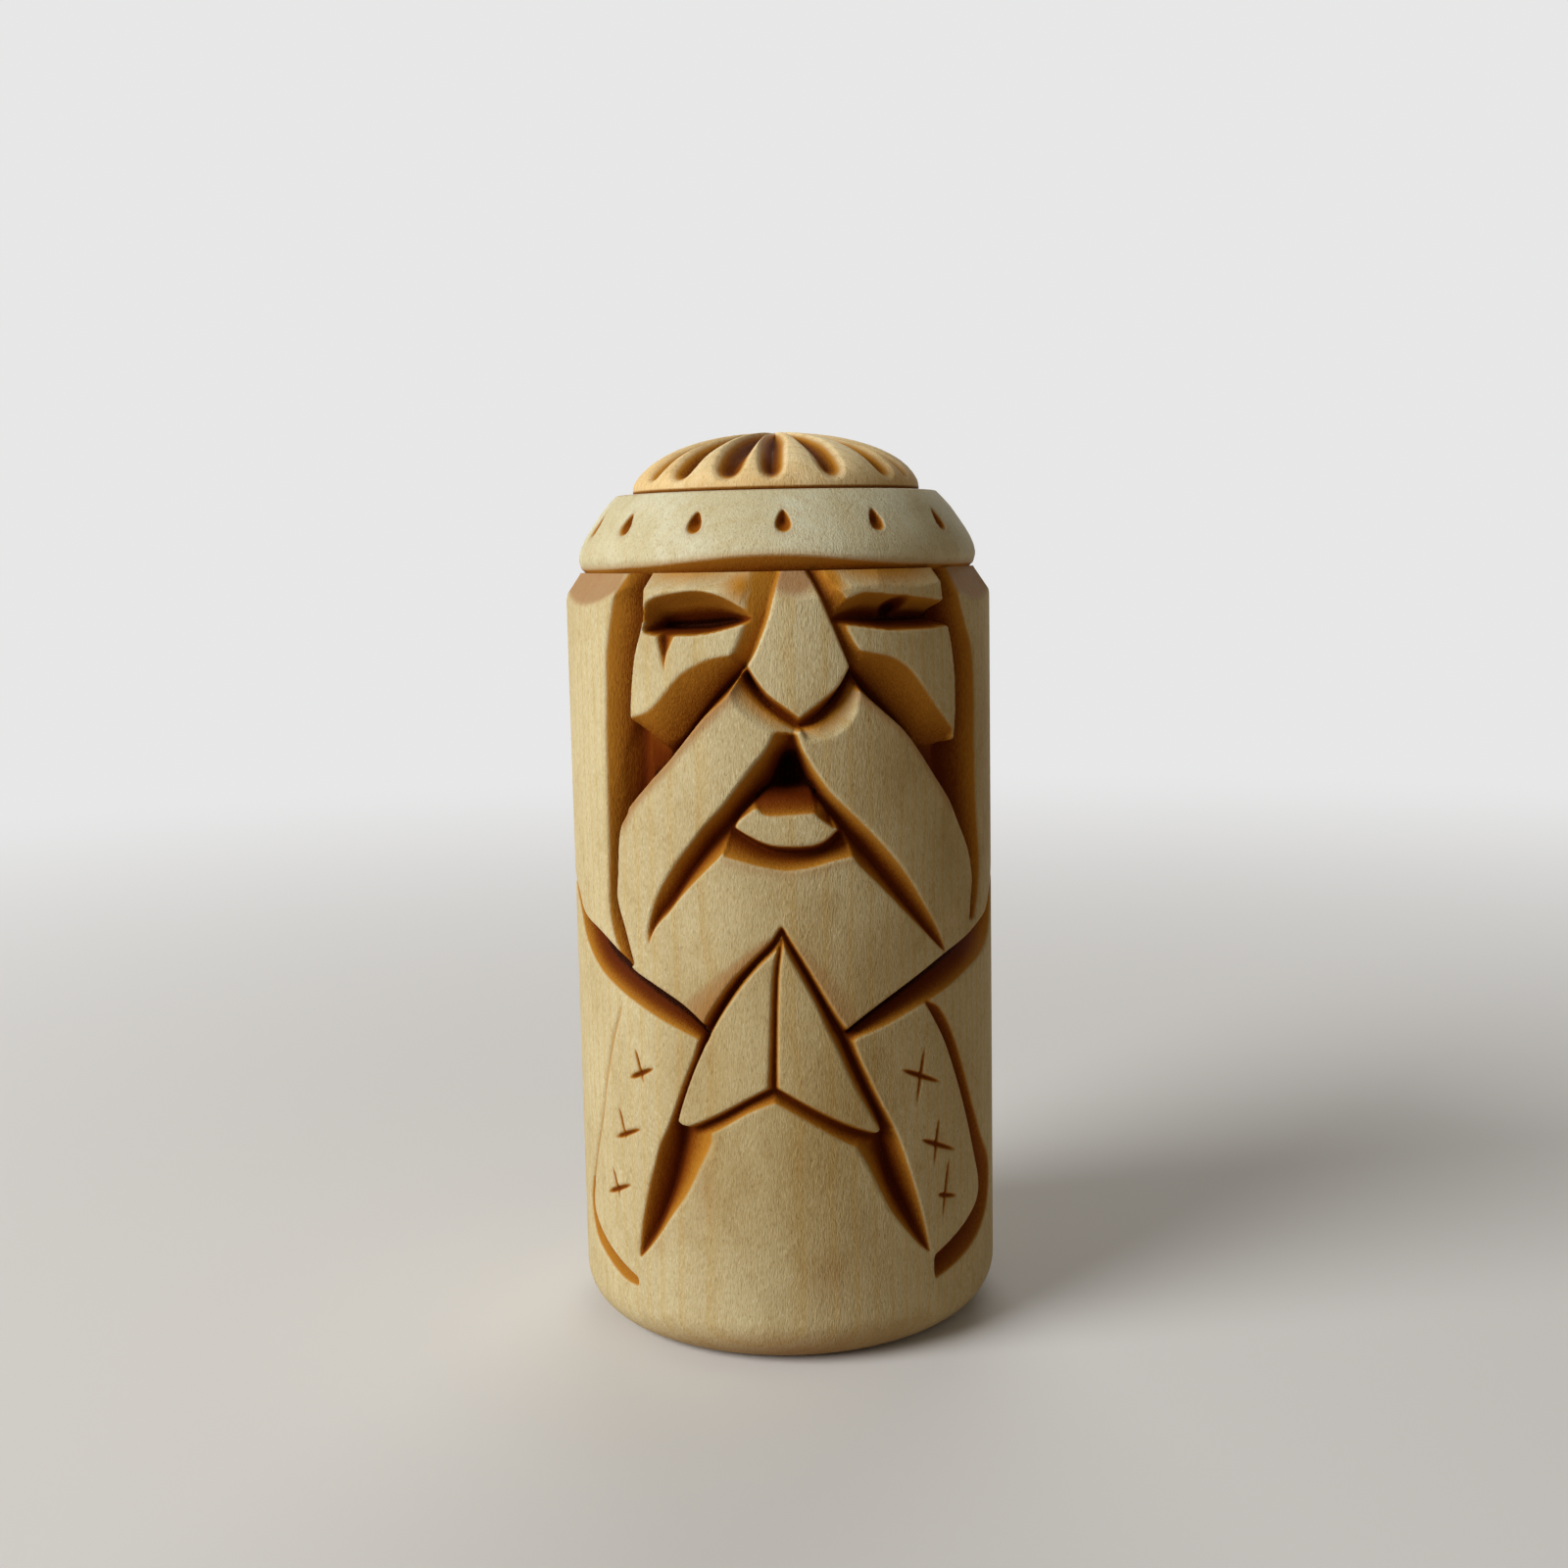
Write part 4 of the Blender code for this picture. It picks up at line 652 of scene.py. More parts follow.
# %% Chart points: an angle, and a height in hundredths of the body
CHART = {
    "temple_right_top": (-37.5, 100.0), "brow_right_end": (-37.8, 95.0), "temple_right": (-38.2, 92.8),
    "cheek_right_corner": (-41.5, 83.0), "cheek_right_foot": (-29.5, 79.0), "whisker_right": (-39.0, 73.3),
    "shoulder_right": (-47.5, 68.3), "jaw_right": (-49.0, 58.5), "jaw_right_foot": (-43.0, 49.8),
    "temple_left_top": (47.0, 100.0), "brow_left_end": (48.2, 96.2), "temple_left": (49.5, 93.0),
    "cheek_left_side": (53.0, 82.0), "cheek_left_corner": (51.5, 78.5), "cheek_left_foot": (41.0, 76.3),
    "whisker_left": (47.5, 72.2), "shoulder_left": (55.0, 66.5), "jaw_left_top": (61.0, 60.5),
    "jaw_left": (60.0, 57.0), "jaw_left_foot": (57.0, 52.7), "nose_top_right": (-0.8, 100.0),
    "nose_top_left": (8.0, 100.0), "nose_right": (-8.8, 88.6), "nose_left": (19.0, 88.2),
    "nose_tip": (4.5, 81.3), "eye_right_inner": (-4.0, 94.3), "eye_left_inner": (14.0, 94.0),
    "brow_right_low": (-14.0, 97.0), "brow_right_mid": (-27.0, 97.5), "brow_left_low": (22.0, 97.3),
    "brow_left_mid": (35.0, 96.8), "lid_right": (-20.0, 92.8), "lid_left": (30.0, 92.8),
    "cheek_right_low": (-19.0, 83.4), "cheek_left_low": (34.0, 80.2), "philtrum": (3.2, 80.0),
    "mouth_right": (-4.0, 73.7), "mouth_left": (6.5, 73.5), "lip_right": (-13.0, 69.7),
    "lip_left": (15.0, 69.2), "lip_right_foot": (-4.0, 66.4), "lip_left_foot": (9.5, 66.2),
    "fold_right": (-22.0, 65.7), "fold_right_low": (-31.5, 59.9), "fold_right_tip": (-37.5, 53.8),
    "fold_left": (25.0, 64.0), "fold_left_low": (34.0, 58.5), "fold_left_tip": (46.5, 51.6),
    "beard_right": (-27.0, 46.0), "beard_right_tip": (-20.5, 43.2), "beard_left": (34.0, 48.1),
    "beard_left_low": (24.0, 45.8), "beard_left_tip": (16.3, 43.2), "fork_top": (-2.2, 55.2),
    "fork_foot": (-3.8, 36.0), "fork_right": (-25.5, 36.5), "fork_right_foot": (-30.0, 30.0),
    "fork_left": (20.0, 36.5), "fork_left_foot": (24.5, 29.8), "chip_right": (-34.5, 22.0),
    "chip_right_foot": (-40.5, 13.4), "chip_left": (31.0, 21.0), "chip_left_foot": (38.3, 13.8),
    "lapel_right_top": (-47.5, 51.1), "lapel_right_neck": (-48.5, 45.5), "lapel_right_high": (-52.5, 40.0),
    "lapel_right_mid": (-58.5, 30.0), "lapel_right_low": (-66.0, 21.0), "lapel_right_hip": (-69.5, 16.5),
    "lapel_right_turn": (-65.0, 14.5), "lapel_right_hem": (-55.0, 11.4), "lapel_right_foot": (-45.0, 9.0),
    "lapel_left_top": (41.0, 50.1), "lapel_left_neck": (41.5, 45.3), "lapel_left_high": (45.5, 41.5),
    "lapel_left_mid": (54.0, 32.5), "lapel_left_low": (61.5, 25.2), "lapel_left_hip": (66.5, 19.0),
    "lapel_left_turn": (64.5, 16.0), "lapel_left_hem": (56.0, 13.5), "lapel_left_foot": (41.5, 10.0),
    "hem_right": (-45.0, 0.0), "hem_left": (41.5, 0.0), "collar_right": (-57.0, 53.8),
    "collar_right_side": (-74.0, 57.5), "collar_left_side": (72.0, 54.6), "hair_right_top": (-92.0, 100.0),
    "hair_right_end": (-92.0, 60.0), "hair_left_top": (92.0, 100.0), "hair_left_end": (92.0, 60.0),
    "nape_right": (-180.0, 60.0), "nape_left": (180.0, 60.0), "hem_back_right": (-180.0, 0.0),
    "hem_back_left": (180.0, 0.0),
}
print(len(CHART), "chart points")

# %% Outlines of the masses, corner by corner
OUTLINES = {
    "nose": "nose_top_left nose_top_right eye_right_inner nose_right nose_tip nose_left eye_left_inner",
    "brow_right": "temple_right_top brow_right_end brow_right_mid brow_right_low eye_right_inner"
    " nose_top_right",
    "brow_left": "nose_top_left eye_left_inner brow_left_low brow_left_mid brow_left_end temple_left_top",
    "eye_right": "brow_right_end temple_right lid_right eye_right_inner brow_right_low brow_right_mid",
    "eye_left": "brow_left_mid brow_left_low eye_left_inner lid_left temple_left brow_left_end",
    "cheek_right": "temple_right cheek_right_corner cheek_right_foot cheek_right_low nose_right"
    " eye_right_inner lid_right",
    "cheek_left": "lid_left eye_left_inner nose_left cheek_left_low cheek_left_foot cheek_left_corner"
    " cheek_left_side temple_left",
    "moustache_right": "nose_tip nose_right cheek_right_low cheek_right_foot whisker_right shoulder_right"
    " jaw_right jaw_right_foot fold_right_tip fold_right_low fold_right lip_right mouth_right philtrum",
    "moustache_left": "philtrum mouth_left lip_left fold_left fold_left_low fold_left_tip jaw_left_foot"
    " jaw_left jaw_left_top shoulder_left whisker_left cheek_left_foot cheek_left_low nose_left nose_tip",
    "lower_lip": "philtrum mouth_right lip_right lip_right_foot lip_left_foot lip_left mouth_left",
    "beard": "lip_left_foot lip_right_foot lip_right fold_right fold_right_low fold_right_tip"
    " jaw_right_foot beard_right beard_right_tip fork_top beard_left_tip beard_left_low beard_left"
    " lapel_left_top fold_left_tip fold_left_low fold_left lip_left",
    "beard_fork_right": "fork_top beard_right_tip fork_right fork_right_foot fork_foot",
    "beard_fork_left": "fork_foot fork_left_foot fork_left beard_left_tip fork_top",
    "tunic": "fork_left_foot fork_foot fork_right_foot chip_right chip_right_foot lapel_right_foot"
    " hem_right hem_left lapel_left_foot chip_left_foot chip_left",
    "lapel_right": "beard_right_tip beard_right jaw_right_foot lapel_right_top lapel_right_neck"
    " lapel_right_high lapel_right_mid lapel_right_low lapel_right_hip lapel_right_turn lapel_right_hem"
    " lapel_right_foot chip_right_foot chip_right fork_right_foot fork_right",
    "lapel_left": "fork_left fork_left_foot chip_left chip_left_foot lapel_left_foot lapel_left_hem"
    " lapel_left_turn lapel_left_hip lapel_left_low lapel_left_mid lapel_left_high lapel_left_neck"
    " lapel_left_top beard_left beard_left_low beard_left_tip",
    "hair_right": "hair_right_top hair_right_end collar_right_side collar_right lapel_right_top"
    " jaw_right_foot jaw_right shoulder_right whisker_right cheek_right_foot cheek_right_corner"
    " temple_right brow_right_end temple_right_top",
    "hair_left": "temple_left_top brow_left_end temple_left cheek_left_side cheek_left_corner"
    " cheek_left_foot whisker_left shoulder_left jaw_left_top jaw_left jaw_left_foot collar_left_side"
    " hair_left_end hair_left_top",
    "cloak_right": "nape_right hem_back_right hem_right lapel_right_foot lapel_right_hem"
    " lapel_right_turn lapel_right_hip lapel_right_low lapel_right_mid lapel_right_high"
    " lapel_right_neck lapel_right_top collar_right collar_right_side hair_right_end",
    "cloak_left": "hair_left_end collar_left_side jaw_left_foot fold_left_tip lapel_left_top"
    " lapel_left_neck lapel_left_high lapel_left_mid lapel_left_low lapel_left_hip lapel_left_turn"
    " lapel_left_hem lapel_left_foot hem_left hem_back_left nape_left",
}
masses = {
    name: np.array([CHART[corner] for corner in outline.split()]) * (1.0, body / 100.0)
    for name, outline in OUTLINES.items()
}
for k in range(LOCKS):
    left, right = SIDE + k * LOCK_TURN, SIDE + (k + 1) * LOCK_TURN
    masses[f"hair_lock_{k + 1}"] = np.array([(left, NAPE), (right, NAPE), (right, body), (left, body)])
print(len(masses), "masses on the board")

# %% [markdown]
# The grid now goes into space: its angle turns round the upright axis, and its radius is the blank's less the
# relief. At the plain back every other column is enough. Each small four-cornered patch becomes two triangles,
# parted along the diagonal whose ends differ least in radius, so that ridges stay straight.

# %% Put the grid into space and cut it into triangles
FINE_TO = 84.0
keep = np.array([k for k in range(COLUMNS) if abs(-180.0 + turn_step * k) <= FINE_TO or k % 2 == 0])
angle, height, full = angle[:, keep], height[:, keep], full[:, keep]
flat_stain_and_shade = np.stack([field[:, keep] for field in (cut, dark, blush_and_shade, wash_and_shade)], axis=-1).reshape(-1, 4)
radius = row_radius[:, None] - full
WIDE = len(keep)


def wrapped(angles, radii, heights):
    """Chart to space: the angle goes round the upright axis, 0 faces the viewer, and plus is the figure's left."""
    turn = np.radians(angles)
    return np.stack([radii * np.sin(turn), -radii * np.cos(turn), heights], axis=-1) * MM


points = wrapped(angle, radius, height).reshape(-1, 3)
row, column = np.meshgrid(np.arange(ROWS - 1), np.arange(WIDE), indexing="ij")
low_left = row * WIDE + column
low_right = row * WIDE + (column + 1) % WIDE
top_left, top_right = low_left + WIDE, low_right + WIDE
flat_radius = radius.reshape(-1)
one_way = np.abs(flat_radius[low_left] - flat_radius[top_right])
other_way = np.abs(flat_radius[low_right] - flat_radius[top_left])
rising = (one_way <= other_way)[..., None]


def either(if_rising, if_falling):
    """The corners of one triangle in each patch, as its diagonal rises or falls."""
    return np.where(rising, np.stack(if_rising, -1), np.stack(if_falling, -1)).reshape(-1, 3)


triangles = np.concatenate([
    either((low_left, low_right, top_right), (low_left, low_right, top_left)),
    either((low_left, top_right, top_left), (low_right, top_right, top_left)),
])
print(len(triangles), "triangles")

# %% Give each triangle to a mass
flat_angle, flat_height = angle.reshape(-1), height.reshape(-1)
corner_angle = flat_angle[triangles]
over_the_back = corner_angle.max(1, keepdims=True) - corner_angle > 180.0
corner_angle = np.where(over_the_back, corner_angle + 360.0, corner_angle)
middle_angle = turn_from(0.0, corner_angle.mean(1))
middle_height = flat_height[triangles].mean(1)


def inside_outline(outline, angles, heights):
    """Counts the outline's edges that pass to one side of each point: an odd count is inside."""
    odd = np.zeros(len(angles), bool)
    for (a0, z0), (a1, z1) in zip(outline, np.roll(outline, -1, axis=0)):
        if z0 != z1:
            between = (z0 > heights) != (z1 > heights)
            odd ^= between & (angles < (a1 - a0) * (heights - z0) / (z1 - z0) + a0)
    return odd


owner = np.full(len(triangles), -1)
for number, outline in enumerate(masses.values()):
    low, high = outline.min(0), outline.max(0)
    for shift in (0.0, 360.0) if high[0] > 180.0 else (0.0,):
        in_box = np.flatnonzero(
            (owner < 0) & (middle_angle + shift >= low[0]) & (middle_angle + shift <= high[0])
            & (middle_height >= low[1]) & (middle_height <= high[1])
        )
        mine = inside_outline(outline, middle_angle[in_box] + shift, middle_height[in_box])
        owner[in_box[mine]] = number
print("triangles without a mass:", int((owner < 0).sum()), "of", len(owner))

# %% [markdown]
# Light has to run over the seams as if they weren't there. So the slant of the surface at every point is worked
# out once from the whole skin, and each mass takes it from there.

# %% Slant of the skin at each point
one, two, three = (points[triangles[:, k]] for k in range(3))
across = np.cross(two - one, three - one)
slant = np.stack([
    sum(np.bincount(triangles[:, k], across[:, axis], len(points)) for k in range(3)) for axis in range(3)
], axis=-1)
slant /= np.linalg.norm(slant, axis=1, keepdims=True)
print("slant at", len(slant), "points")

# %% [markdown]
# A mass is its part of the skin, with a wall from every edge of the rim straight in to the heart, and a back
# that fills the ring of wall ends. An edge is on the rim if only one of the mass's triangles has it.

# %% Close each mass into a solid
def new_piece(name, places, faces, colours, smooth=None, slants=None):
    """Puts places and faces into a mesh, with the stain and the painted shade as a colour on each place."""
    mesh = bpy.data.meshes.new(name)
    mesh.from_pydata(places.tolist(), [], faces if isinstance(faces, list) else faces.tolist())
    mesh.polygons.foreach_set("use_smooth", np.ones(len(faces), bool) if smooth is None else smooth)
    layer = mesh.attributes.new("stain_and_shade", "FLOAT_COLOR", "POINT")
    layer.data.foreach_set("color", colours.ravel())
    mesh.update()
    if slants is not None:
        mesh.normals_split_custom_set(slants.tolist())
    piece = bpy.data.objects.new(name, mesh)
    bpy.context.scene.collection.objects.link(piece)
    return piece


def carved_mass(name, faces):
    """One mass: its skin, straight sides towards the heart, and a back that closes it."""
    edges = np.concatenate([faces[:, [0, 1]], faces[:, [1, 2]], faces[:, [2, 0]]])
    key = edges.min(1) * len(points) + edges.max(1)
    _, where, count = np.unique(key, return_index=True, return_counts=True)
    rim = edges[where[count == 1]]
    skin, local = np.unique(faces, return_inverse=True)
    ends = np.unique(rim)
    to_skin = {int(point): k for k, point in enumerate(skin)}
    to_end = {int(point): k for k, point in enumerate(ends)}
    end_angle = flat_angle[ends]
    back_points = wrapped(end_angle, np.full(len(ends), heart), flat_height[ends])
    if np.ptp(end_angle) > 180.0 and (end_angle < -90).any() and (end_angle > 90).any():
        end_angle = end_angle % 360.0
    sides = np.array([
        wall
        for a, b in rim.tolist()
        for wall in ((to_skin[b], to_skin[a], len(skin) + to_end[a]),
                     (to_skin[b], len(skin) + to_end[a], len(skin) + to_end[b]))
    ])
    flat = [Vector((turn * mm_per_degree, rise)) for turn, rise in zip(end_angle, flat_height[ends])]
    found = delaunay_2d_cdt(flat, [(to_end[a], to_end[b]) for a, b in rim.tolist()], [], 1, 1e-7, True)
    sources = [group[0] if group else -1 for group in found[3]]
    back = np.array([[len(skin) + sources[corner] for corner in (a, c, b)] for a, b, c in found[2]])
    closing = len(sides) + len(back)
    return new_piece(
        name,
        np.concatenate([points[skin], back_points]),
        np.concatenate([local.reshape(-1, 3), sides, back]),
        np.concatenate([flat_stain_and_shade[skin], flat_stain_and_shade[ends]]),
        np.arange(len(faces) + closing) < len(faces),
        np.concatenate([slant[faces].reshape(-1, 3), np.zeros((3 * closing, 3))]),
    )


pieces = {}
for number, name in enumerate(masses):
    pieces[name] = carved_mass("carved_" + name, triangles[owner == number])
    print(name, len(pieces[name].data.polygons), "triangles")

# %% [markdown]
# ## The headband
# The band is a collar of pale wood between the shoulder and the skullcap, cut away underneath at the front.
# Its section is a closed loop, carried round the axis, and the height of its lower edge changes as it goes.

# %% Sides of the headband
BAND_TURNS = 960
BAND_SINK = 0.25
band_low, band_high = body - BAND_SINK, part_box("headband")[1].z / MM
band_angle = -180.0 + 360.0 / BAND_TURNS * np.arange(BAND_TURNS)
edge_at = np.array([-180, -100, -74, -57, -36, -22, -10, 1, 10, 19, 36, 52, 76, 100, 180])
edge_is = np.array([67.6, 67.6, 67.6, 67.65, 67.9, 68.3, 68.65, 68.7, 68.55, 68.2, 67.75, 67.6, 67.6, 67.6, 67.6])
lower_edge = np.interp(band_angle, edge_at, edge_is)
lower_edge = np.convolve(np.pad(lower_edge, 12, mode="wrap"), np.ones(25) / 25, mode="valid")
side_height = np.array([67.0, 67.7, 68.4, 69.2, 70.0, 70.8, 71.6, 72.6, 73.4, band_high])
side_radius = np.array([17.3, 17.6, 17.8, 17.65, 17.3, 16.85, 16.3, 15.6, 14.9, 14.3])


def band_radius(heights):
    """Radius of the band's bulging side at a height: the table above, drawn smooth by a running average."""
    fine = np.linspace(side_height[0], side_height[-1], 200)
    smooth = np.pad(np.interp(fine, side_height, side_radius), 7, mode="reflect", reflect_type="odd")
    return np.interp(heights, fine, np.convolve(smooth, np.ones(15) / 15, mode="valid"))


print("lower edge from", lower_edge.min(), "to", lower_edge.max(), "mm")

# %% Section of the headband, from its inner foot round the outside to its inner top
around = np.ones((1, BAND_TURNS))
UNDER_RINGS = 8
side_z = lower_edge + (band_high - 0.05 - lower_edge) * np.linspace(0.0, 1.0, 52)[:, None]
under = np.linspace(0.0, 1.0, UNDER_RINGS + 1)[:-1, None]
inner_r = 17.4 - 0.8 * (lower_edge - band_low)
under_r = inner_r + (band_radius(lower_edge) - 0.08 - inner_r) * under
under_z = band_low + (lower_edge - 0.06 - band_low) * under
top_r = np.array([14.2, 14.05, 13.4, heart + 0.2, heart])[:, None]
top_z = np.array([band_high - .01, band_high, band_high, band_high, band_high])[:, None]
section_r = np.concatenate([heart * around, under_r, band_radius(side_z), top_r * around])
section_z = np.concatenate([band_low * around, under_z, side_z, top_z * around])
print(len(section_r), "rings")

# %% Pricks made with the point of the knife
PRICKS = (-97, -71, -50, -24, 2, 30, 57, 84, 110, 136, 161, -173, -148, -122)
PRICK_HEIGHT, PRICK_TALL, PRICK_DEEP = 71.35, 0.95, 0.85
prick_mm_per_degree = 16.5 * math.pi / 180.0
prick_depth, soft_prick = np.zeros_like(section_r), np.zeros_like(section_r)
up = (section_z - PRICK_HEIGHT) / PRICK_TALL
narrow = 0.62 - 0.26 * np.clip(up, -1.0, 1.0)
for turn in PRICKS:
    from_middle = np.hypot(turn_from(turn, band_angle) * prick_mm_per_degree / narrow, up)
    prick_depth = np.maximum(prick_depth, PRICK_DEEP * np.clip(1.0 - from_middle, 0.0, 1.0) ** 0.7)
    soft_prick = np.maximum(soft_prick, np.clip(1.6 - from_middle, 0.0, 0.6))
section_r = section_r - prick_depth
band_points = wrapped(np.repeat(band_angle[None, :], len(section_r), 0), section_r, section_z).reshape(-1, 3)
print(len(PRICKS), "pricks")

# %% Close the headband and stain it
def grid_faces(rows, columns, closed):
    """Four-cornered faces of a grid that goes round its columns, and round its rows too if it is closed."""
    a, b = np.meshgrid(np.arange(rows if closed else rows - 1), np.arange(columns), indexing="ij")
    c, d = (a + 1) % rows, (b + 1) % columns
    return np.stack([a * columns + b, a * columns + d, c * columns + d, c * columns + b], -1).reshape(-1, 4)


band_faces = grid_faces(len(section_r), BAND_TURNS, True)
outside = np.arange(len(section_r))[:, None] > UNDER_RINGS
under_cut = np.zeros_like(section_r)
under_cut[0] = 1.0
under_cut[1 : UNDER_RINGS + 1] = np.linspace(0.95, 0.6, UNDER_RINGS)[:, None]
near_edge = ramp(section_z - lower_edge, 0.55, 0.0) * outside
top_edge = ramp(section_z, band_high - 0.12, band_high - 0.02)
band_cut = np.clip(np.maximum(prick_depth / 0.3, under_cut) + 0.25 * near_edge, 0, 1)
band_dark = ramp(prick_depth, 0.3, 0.9) * 0.55
band_dark[1:5] = np.maximum(band_dark[1:5], np.array([0.6, 0.4, 0.2, 0.05])[:, None])
band_blush = np.clip(near_edge * 0.3 + top_edge * 0.55 + 0.5 * soft_prick, 0, 1)
band_stain = np.stack([band_cut, band_dark, band_blush, 0 * band_cut], -1).reshape(-1, 4)
pieces["headband"] = new_piece("carved_headband", band_points, band_faces, band_stain)
print("headband", len(band_faces) * 2, "triangles")

# %% [markdown]
# ## The skullcap
# A low dome, half an ellipse in section. Gouge cuts run down it from the crown and stop a millimetre above its
# foot, each a rounded trough that widens on its way down. The wood between two of them is left as a rounded
# ridge, so the whole dome is fluted.

# %% Shape of the dome and its flutes: the turn, width and depth of each
FLUTES = (
    (-59, 2.4, .75), (-41, 2.7, 1.0), (-19, 2.9, 1.1), (-1.4, 2.4, 1.05), (23, 2.6, .85), (50, 2.5, .75),
    (66, 2.2, .7), (90, 2.6, .85), (113, 2.7, .9), (137, 2.6, .9), (160, 2.7, .85), (-176, 2.6, .9),
    (-153, 2.7, .9), (-129, 2.6, .9), (-106, 2.7, .85), (-82, 2.6, .9),
)
CAP_TURNS = 720
CAP_RIM = 0.25
cap_foot, cap_high = band_high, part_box("skullcap")[1].z / MM
cap_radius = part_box("skullcap")[1].x / MM
dome_foot = cap_foot + CAP_RIM
cap_angle = -180.0 + 360.0 / CAP_TURNS * np.arange(CAP_TURNS)
climb = np.linspace(0.0, math.pi / 2, 131)[:-1, None]
dome_r = cap_radius * np.cos(climb)
dome_z = dome_foot + (cap_high - dome_foot) * np.sin(climb)
stretches = np.hypot(np.diff(dome_r, axis=0), np.diff(dome_z, axis=0))
walked = np.concatenate([[[0.0]], np.cumsum(stretches, axis=0)])
flute_depth = np.zeros((len(dome_r), CAP_TURNS))
nearest = np.full((len(dome_r), CAP_TURNS), 90.0)
for turn, wide, deep in FLUTES:
    turned = np.abs(turn_from(turn, cap_angle[None, :]))
    nearest = np.minimum(nearest, turned)
    half = np.minimum(0.55 * wide, 0.165 * dome_r + 0.05)
    end = ramp(walked, 3.0, 0.4) ** 1.6
    spread = np.clip(np.hypot(np.radians(turned) * dome_r / half, end), 0.0, 1.0)
    bowl = 0.55 * (1 - spread) + 0.45 * (0.5 + 0.5 * np.cos(np.pi * spread))
    flute_depth = np.maximum(flute_depth, bowl * deep * ramp(dome_r, 0.0, 6.0) ** 0.6)
ridge = 0.25 * ramp(nearest, 11.0, 0.0) * ramp(dome_r, 0.0, 9.0)
inward = flute_depth + ridge * ramp(walked, 0.8, 2.4)
outward_r = dome_r / cap_radius**2
outward_z = (dome_z - dome_foot) / (cap_high - dome_foot) ** 2
length = np.hypot(outward_r, outward_z)
print("flutes", len(FLUTES), "deepest", flute_depth.max(), "mm")

# %% Close the dome: two rings at its foot, a fan below and a fan at the crown
around = np.ones((1, CAP_TURNS))
cap_r = np.concatenate([np.array([[cap_radius - 0.5], [cap_radius - 0.12]]) * around,
                        dome_r - inward * outward_r / length])
cap_z = np.concatenate([np.array([[cap_foot], [cap_foot + 0.03]]) * around,
                        dome_z - inward * outward_z / length])
rings_up = len(cap_r)
cap_places = wrapped(np.repeat(cap_angle[None, :], rings_up, 0), cap_r, cap_z).reshape(-1, 3)
cap_places = np.concatenate([cap_places, np.array([[0.0, 0.0, cap_foot], [0.0, 0.0, cap_high]]) * MM])
side_faces = grid_faces(rings_up, CAP_TURNS, False)
ring = np.arange(CAP_TURNS)
following = (ring + 1) % CAP_TURNS
last, low_pole = (rings_up - 1) * CAP_TURNS, rings_up * CAP_TURNS
base_fan = np.stack([np.full(CAP_TURNS, low_pole), following, ring], -1)
top_fan = np.stack([np.full(CAP_TURNS, low_pole + 1), last + ring, last + following], -1)
cap_faces = side_faces.tolist() + base_fan.tolist() + top_fan.tolist()
print(len(cap_faces), "faces")

# %% Stain the dome
at_foot = ramp(walked, 0.2, 0.0)
cap_dark = np.maximum(0.5 * ramp(flute_depth, 0.3, 0.8), 0.4 * at_foot)
cap_cut = np.maximum(0.8 * ramp(flute_depth, 0.1, 0.5), 0.5 * at_foot)
cap_blush = 0.55 * ramp(flute_depth, 0.02, 0.42) + 0.1 * ramp(walked, 0.9, 0.0)
cap_stain = np.stack([cap_cut, cap_dark, cap_blush, 0 * cap_cut], -1)
cap_stain = np.concatenate([np.full((2, CAP_TURNS, 4), (0.6, 0.5, 0.4, 0.0)), cap_stain]).reshape(-1, 4)
cap_stain = np.concatenate([cap_stain, [[0.5, 0.3, 0.3, 0.0], [0.3, 0.1, 0.2, 0.0]]])
pieces["skullcap"] = new_piece("carved_skullcap", cap_places, cap_faces, cap_stain)
print("skullcap", 2 * len(side_faces) + 2 * CAP_TURNS, "triangles")

# %% [markdown]
# ## The wood
# One material carries everything: the growth rings of the tree, which show as upright streaks on the sides and
# wide tongues at the front, the short dark pores, and the stain and painted shade that were worked out above. It
# is made of thin layers of colour, each laid over the last, as the real finish is.

# %% Short ways to add nodes
def add(tree, kind, sockets=(), **settings):
    """Adds a node. Settings are fields of its own. A socket gets a value, or a link from another socket."""
    node = tree.nodes.new(kind)
    down, right = divmod(len(tree.nodes), 10)
    node.location = (200 * right - 1800, 600 - 300 * down)
    for key, value in settings.items():
        setattr(node, key, value)
    for key, value in dict(sockets).items():
        if isinstance(value, bpy.types.NodeSocket):
            tree.links.new(value, node.inputs[key])
        else:
            node.inputs[key].default_value = value
    return node


def mix(tree, factor, one, other, blend="MIX"):
    """Lays one colour over the other by a factor, or multiplies the two by it."""
    sockets = {0: factor, 6: one, 7: other}
    return add(tree, "ShaderNodeMix", sockets, data_type="RGBA", blend_type=blend).outputs[2]


def maths(tree, operation, one, other, clamp=False):
    """Two numbers joined by an operation, and held between 0 and 1 where clamp is true."""
    return add(tree, "ShaderNodeMath", {0: one, 1: other}, operation=operation, use_clamp=clamp).outputs[0]


def remap(tree, value, low, high, to_low=0.0, to_high=1.0):
    """Takes low to to_low and high to to_high, with an S-shaped curve between them."""
    sockets = dict(enumerate((value, low, high, to_low, to_high)))
    return add(tree, "ShaderNodeMapRange", sockets, interpolation_type="SMOOTHSTEP").outputs[0]


def noise(tree, place, stretch, scale, detail=3.0, rough=0.55):
    """Noise drawn out along the grain: stretch is how much finer it is across than along."""
    drawn = add(tree, "ShaderNodeMapping", {"Vector": place, "Scale": (1.0, 1.0, 1.0 / stretch)}).outputs[0]
    sockets = {"Vector": drawn, "Scale": scale, "Detail": detail, "Roughness": rough}
    return add(tree, "ShaderNodeTexNoise", sockets).outputs["Fac"]


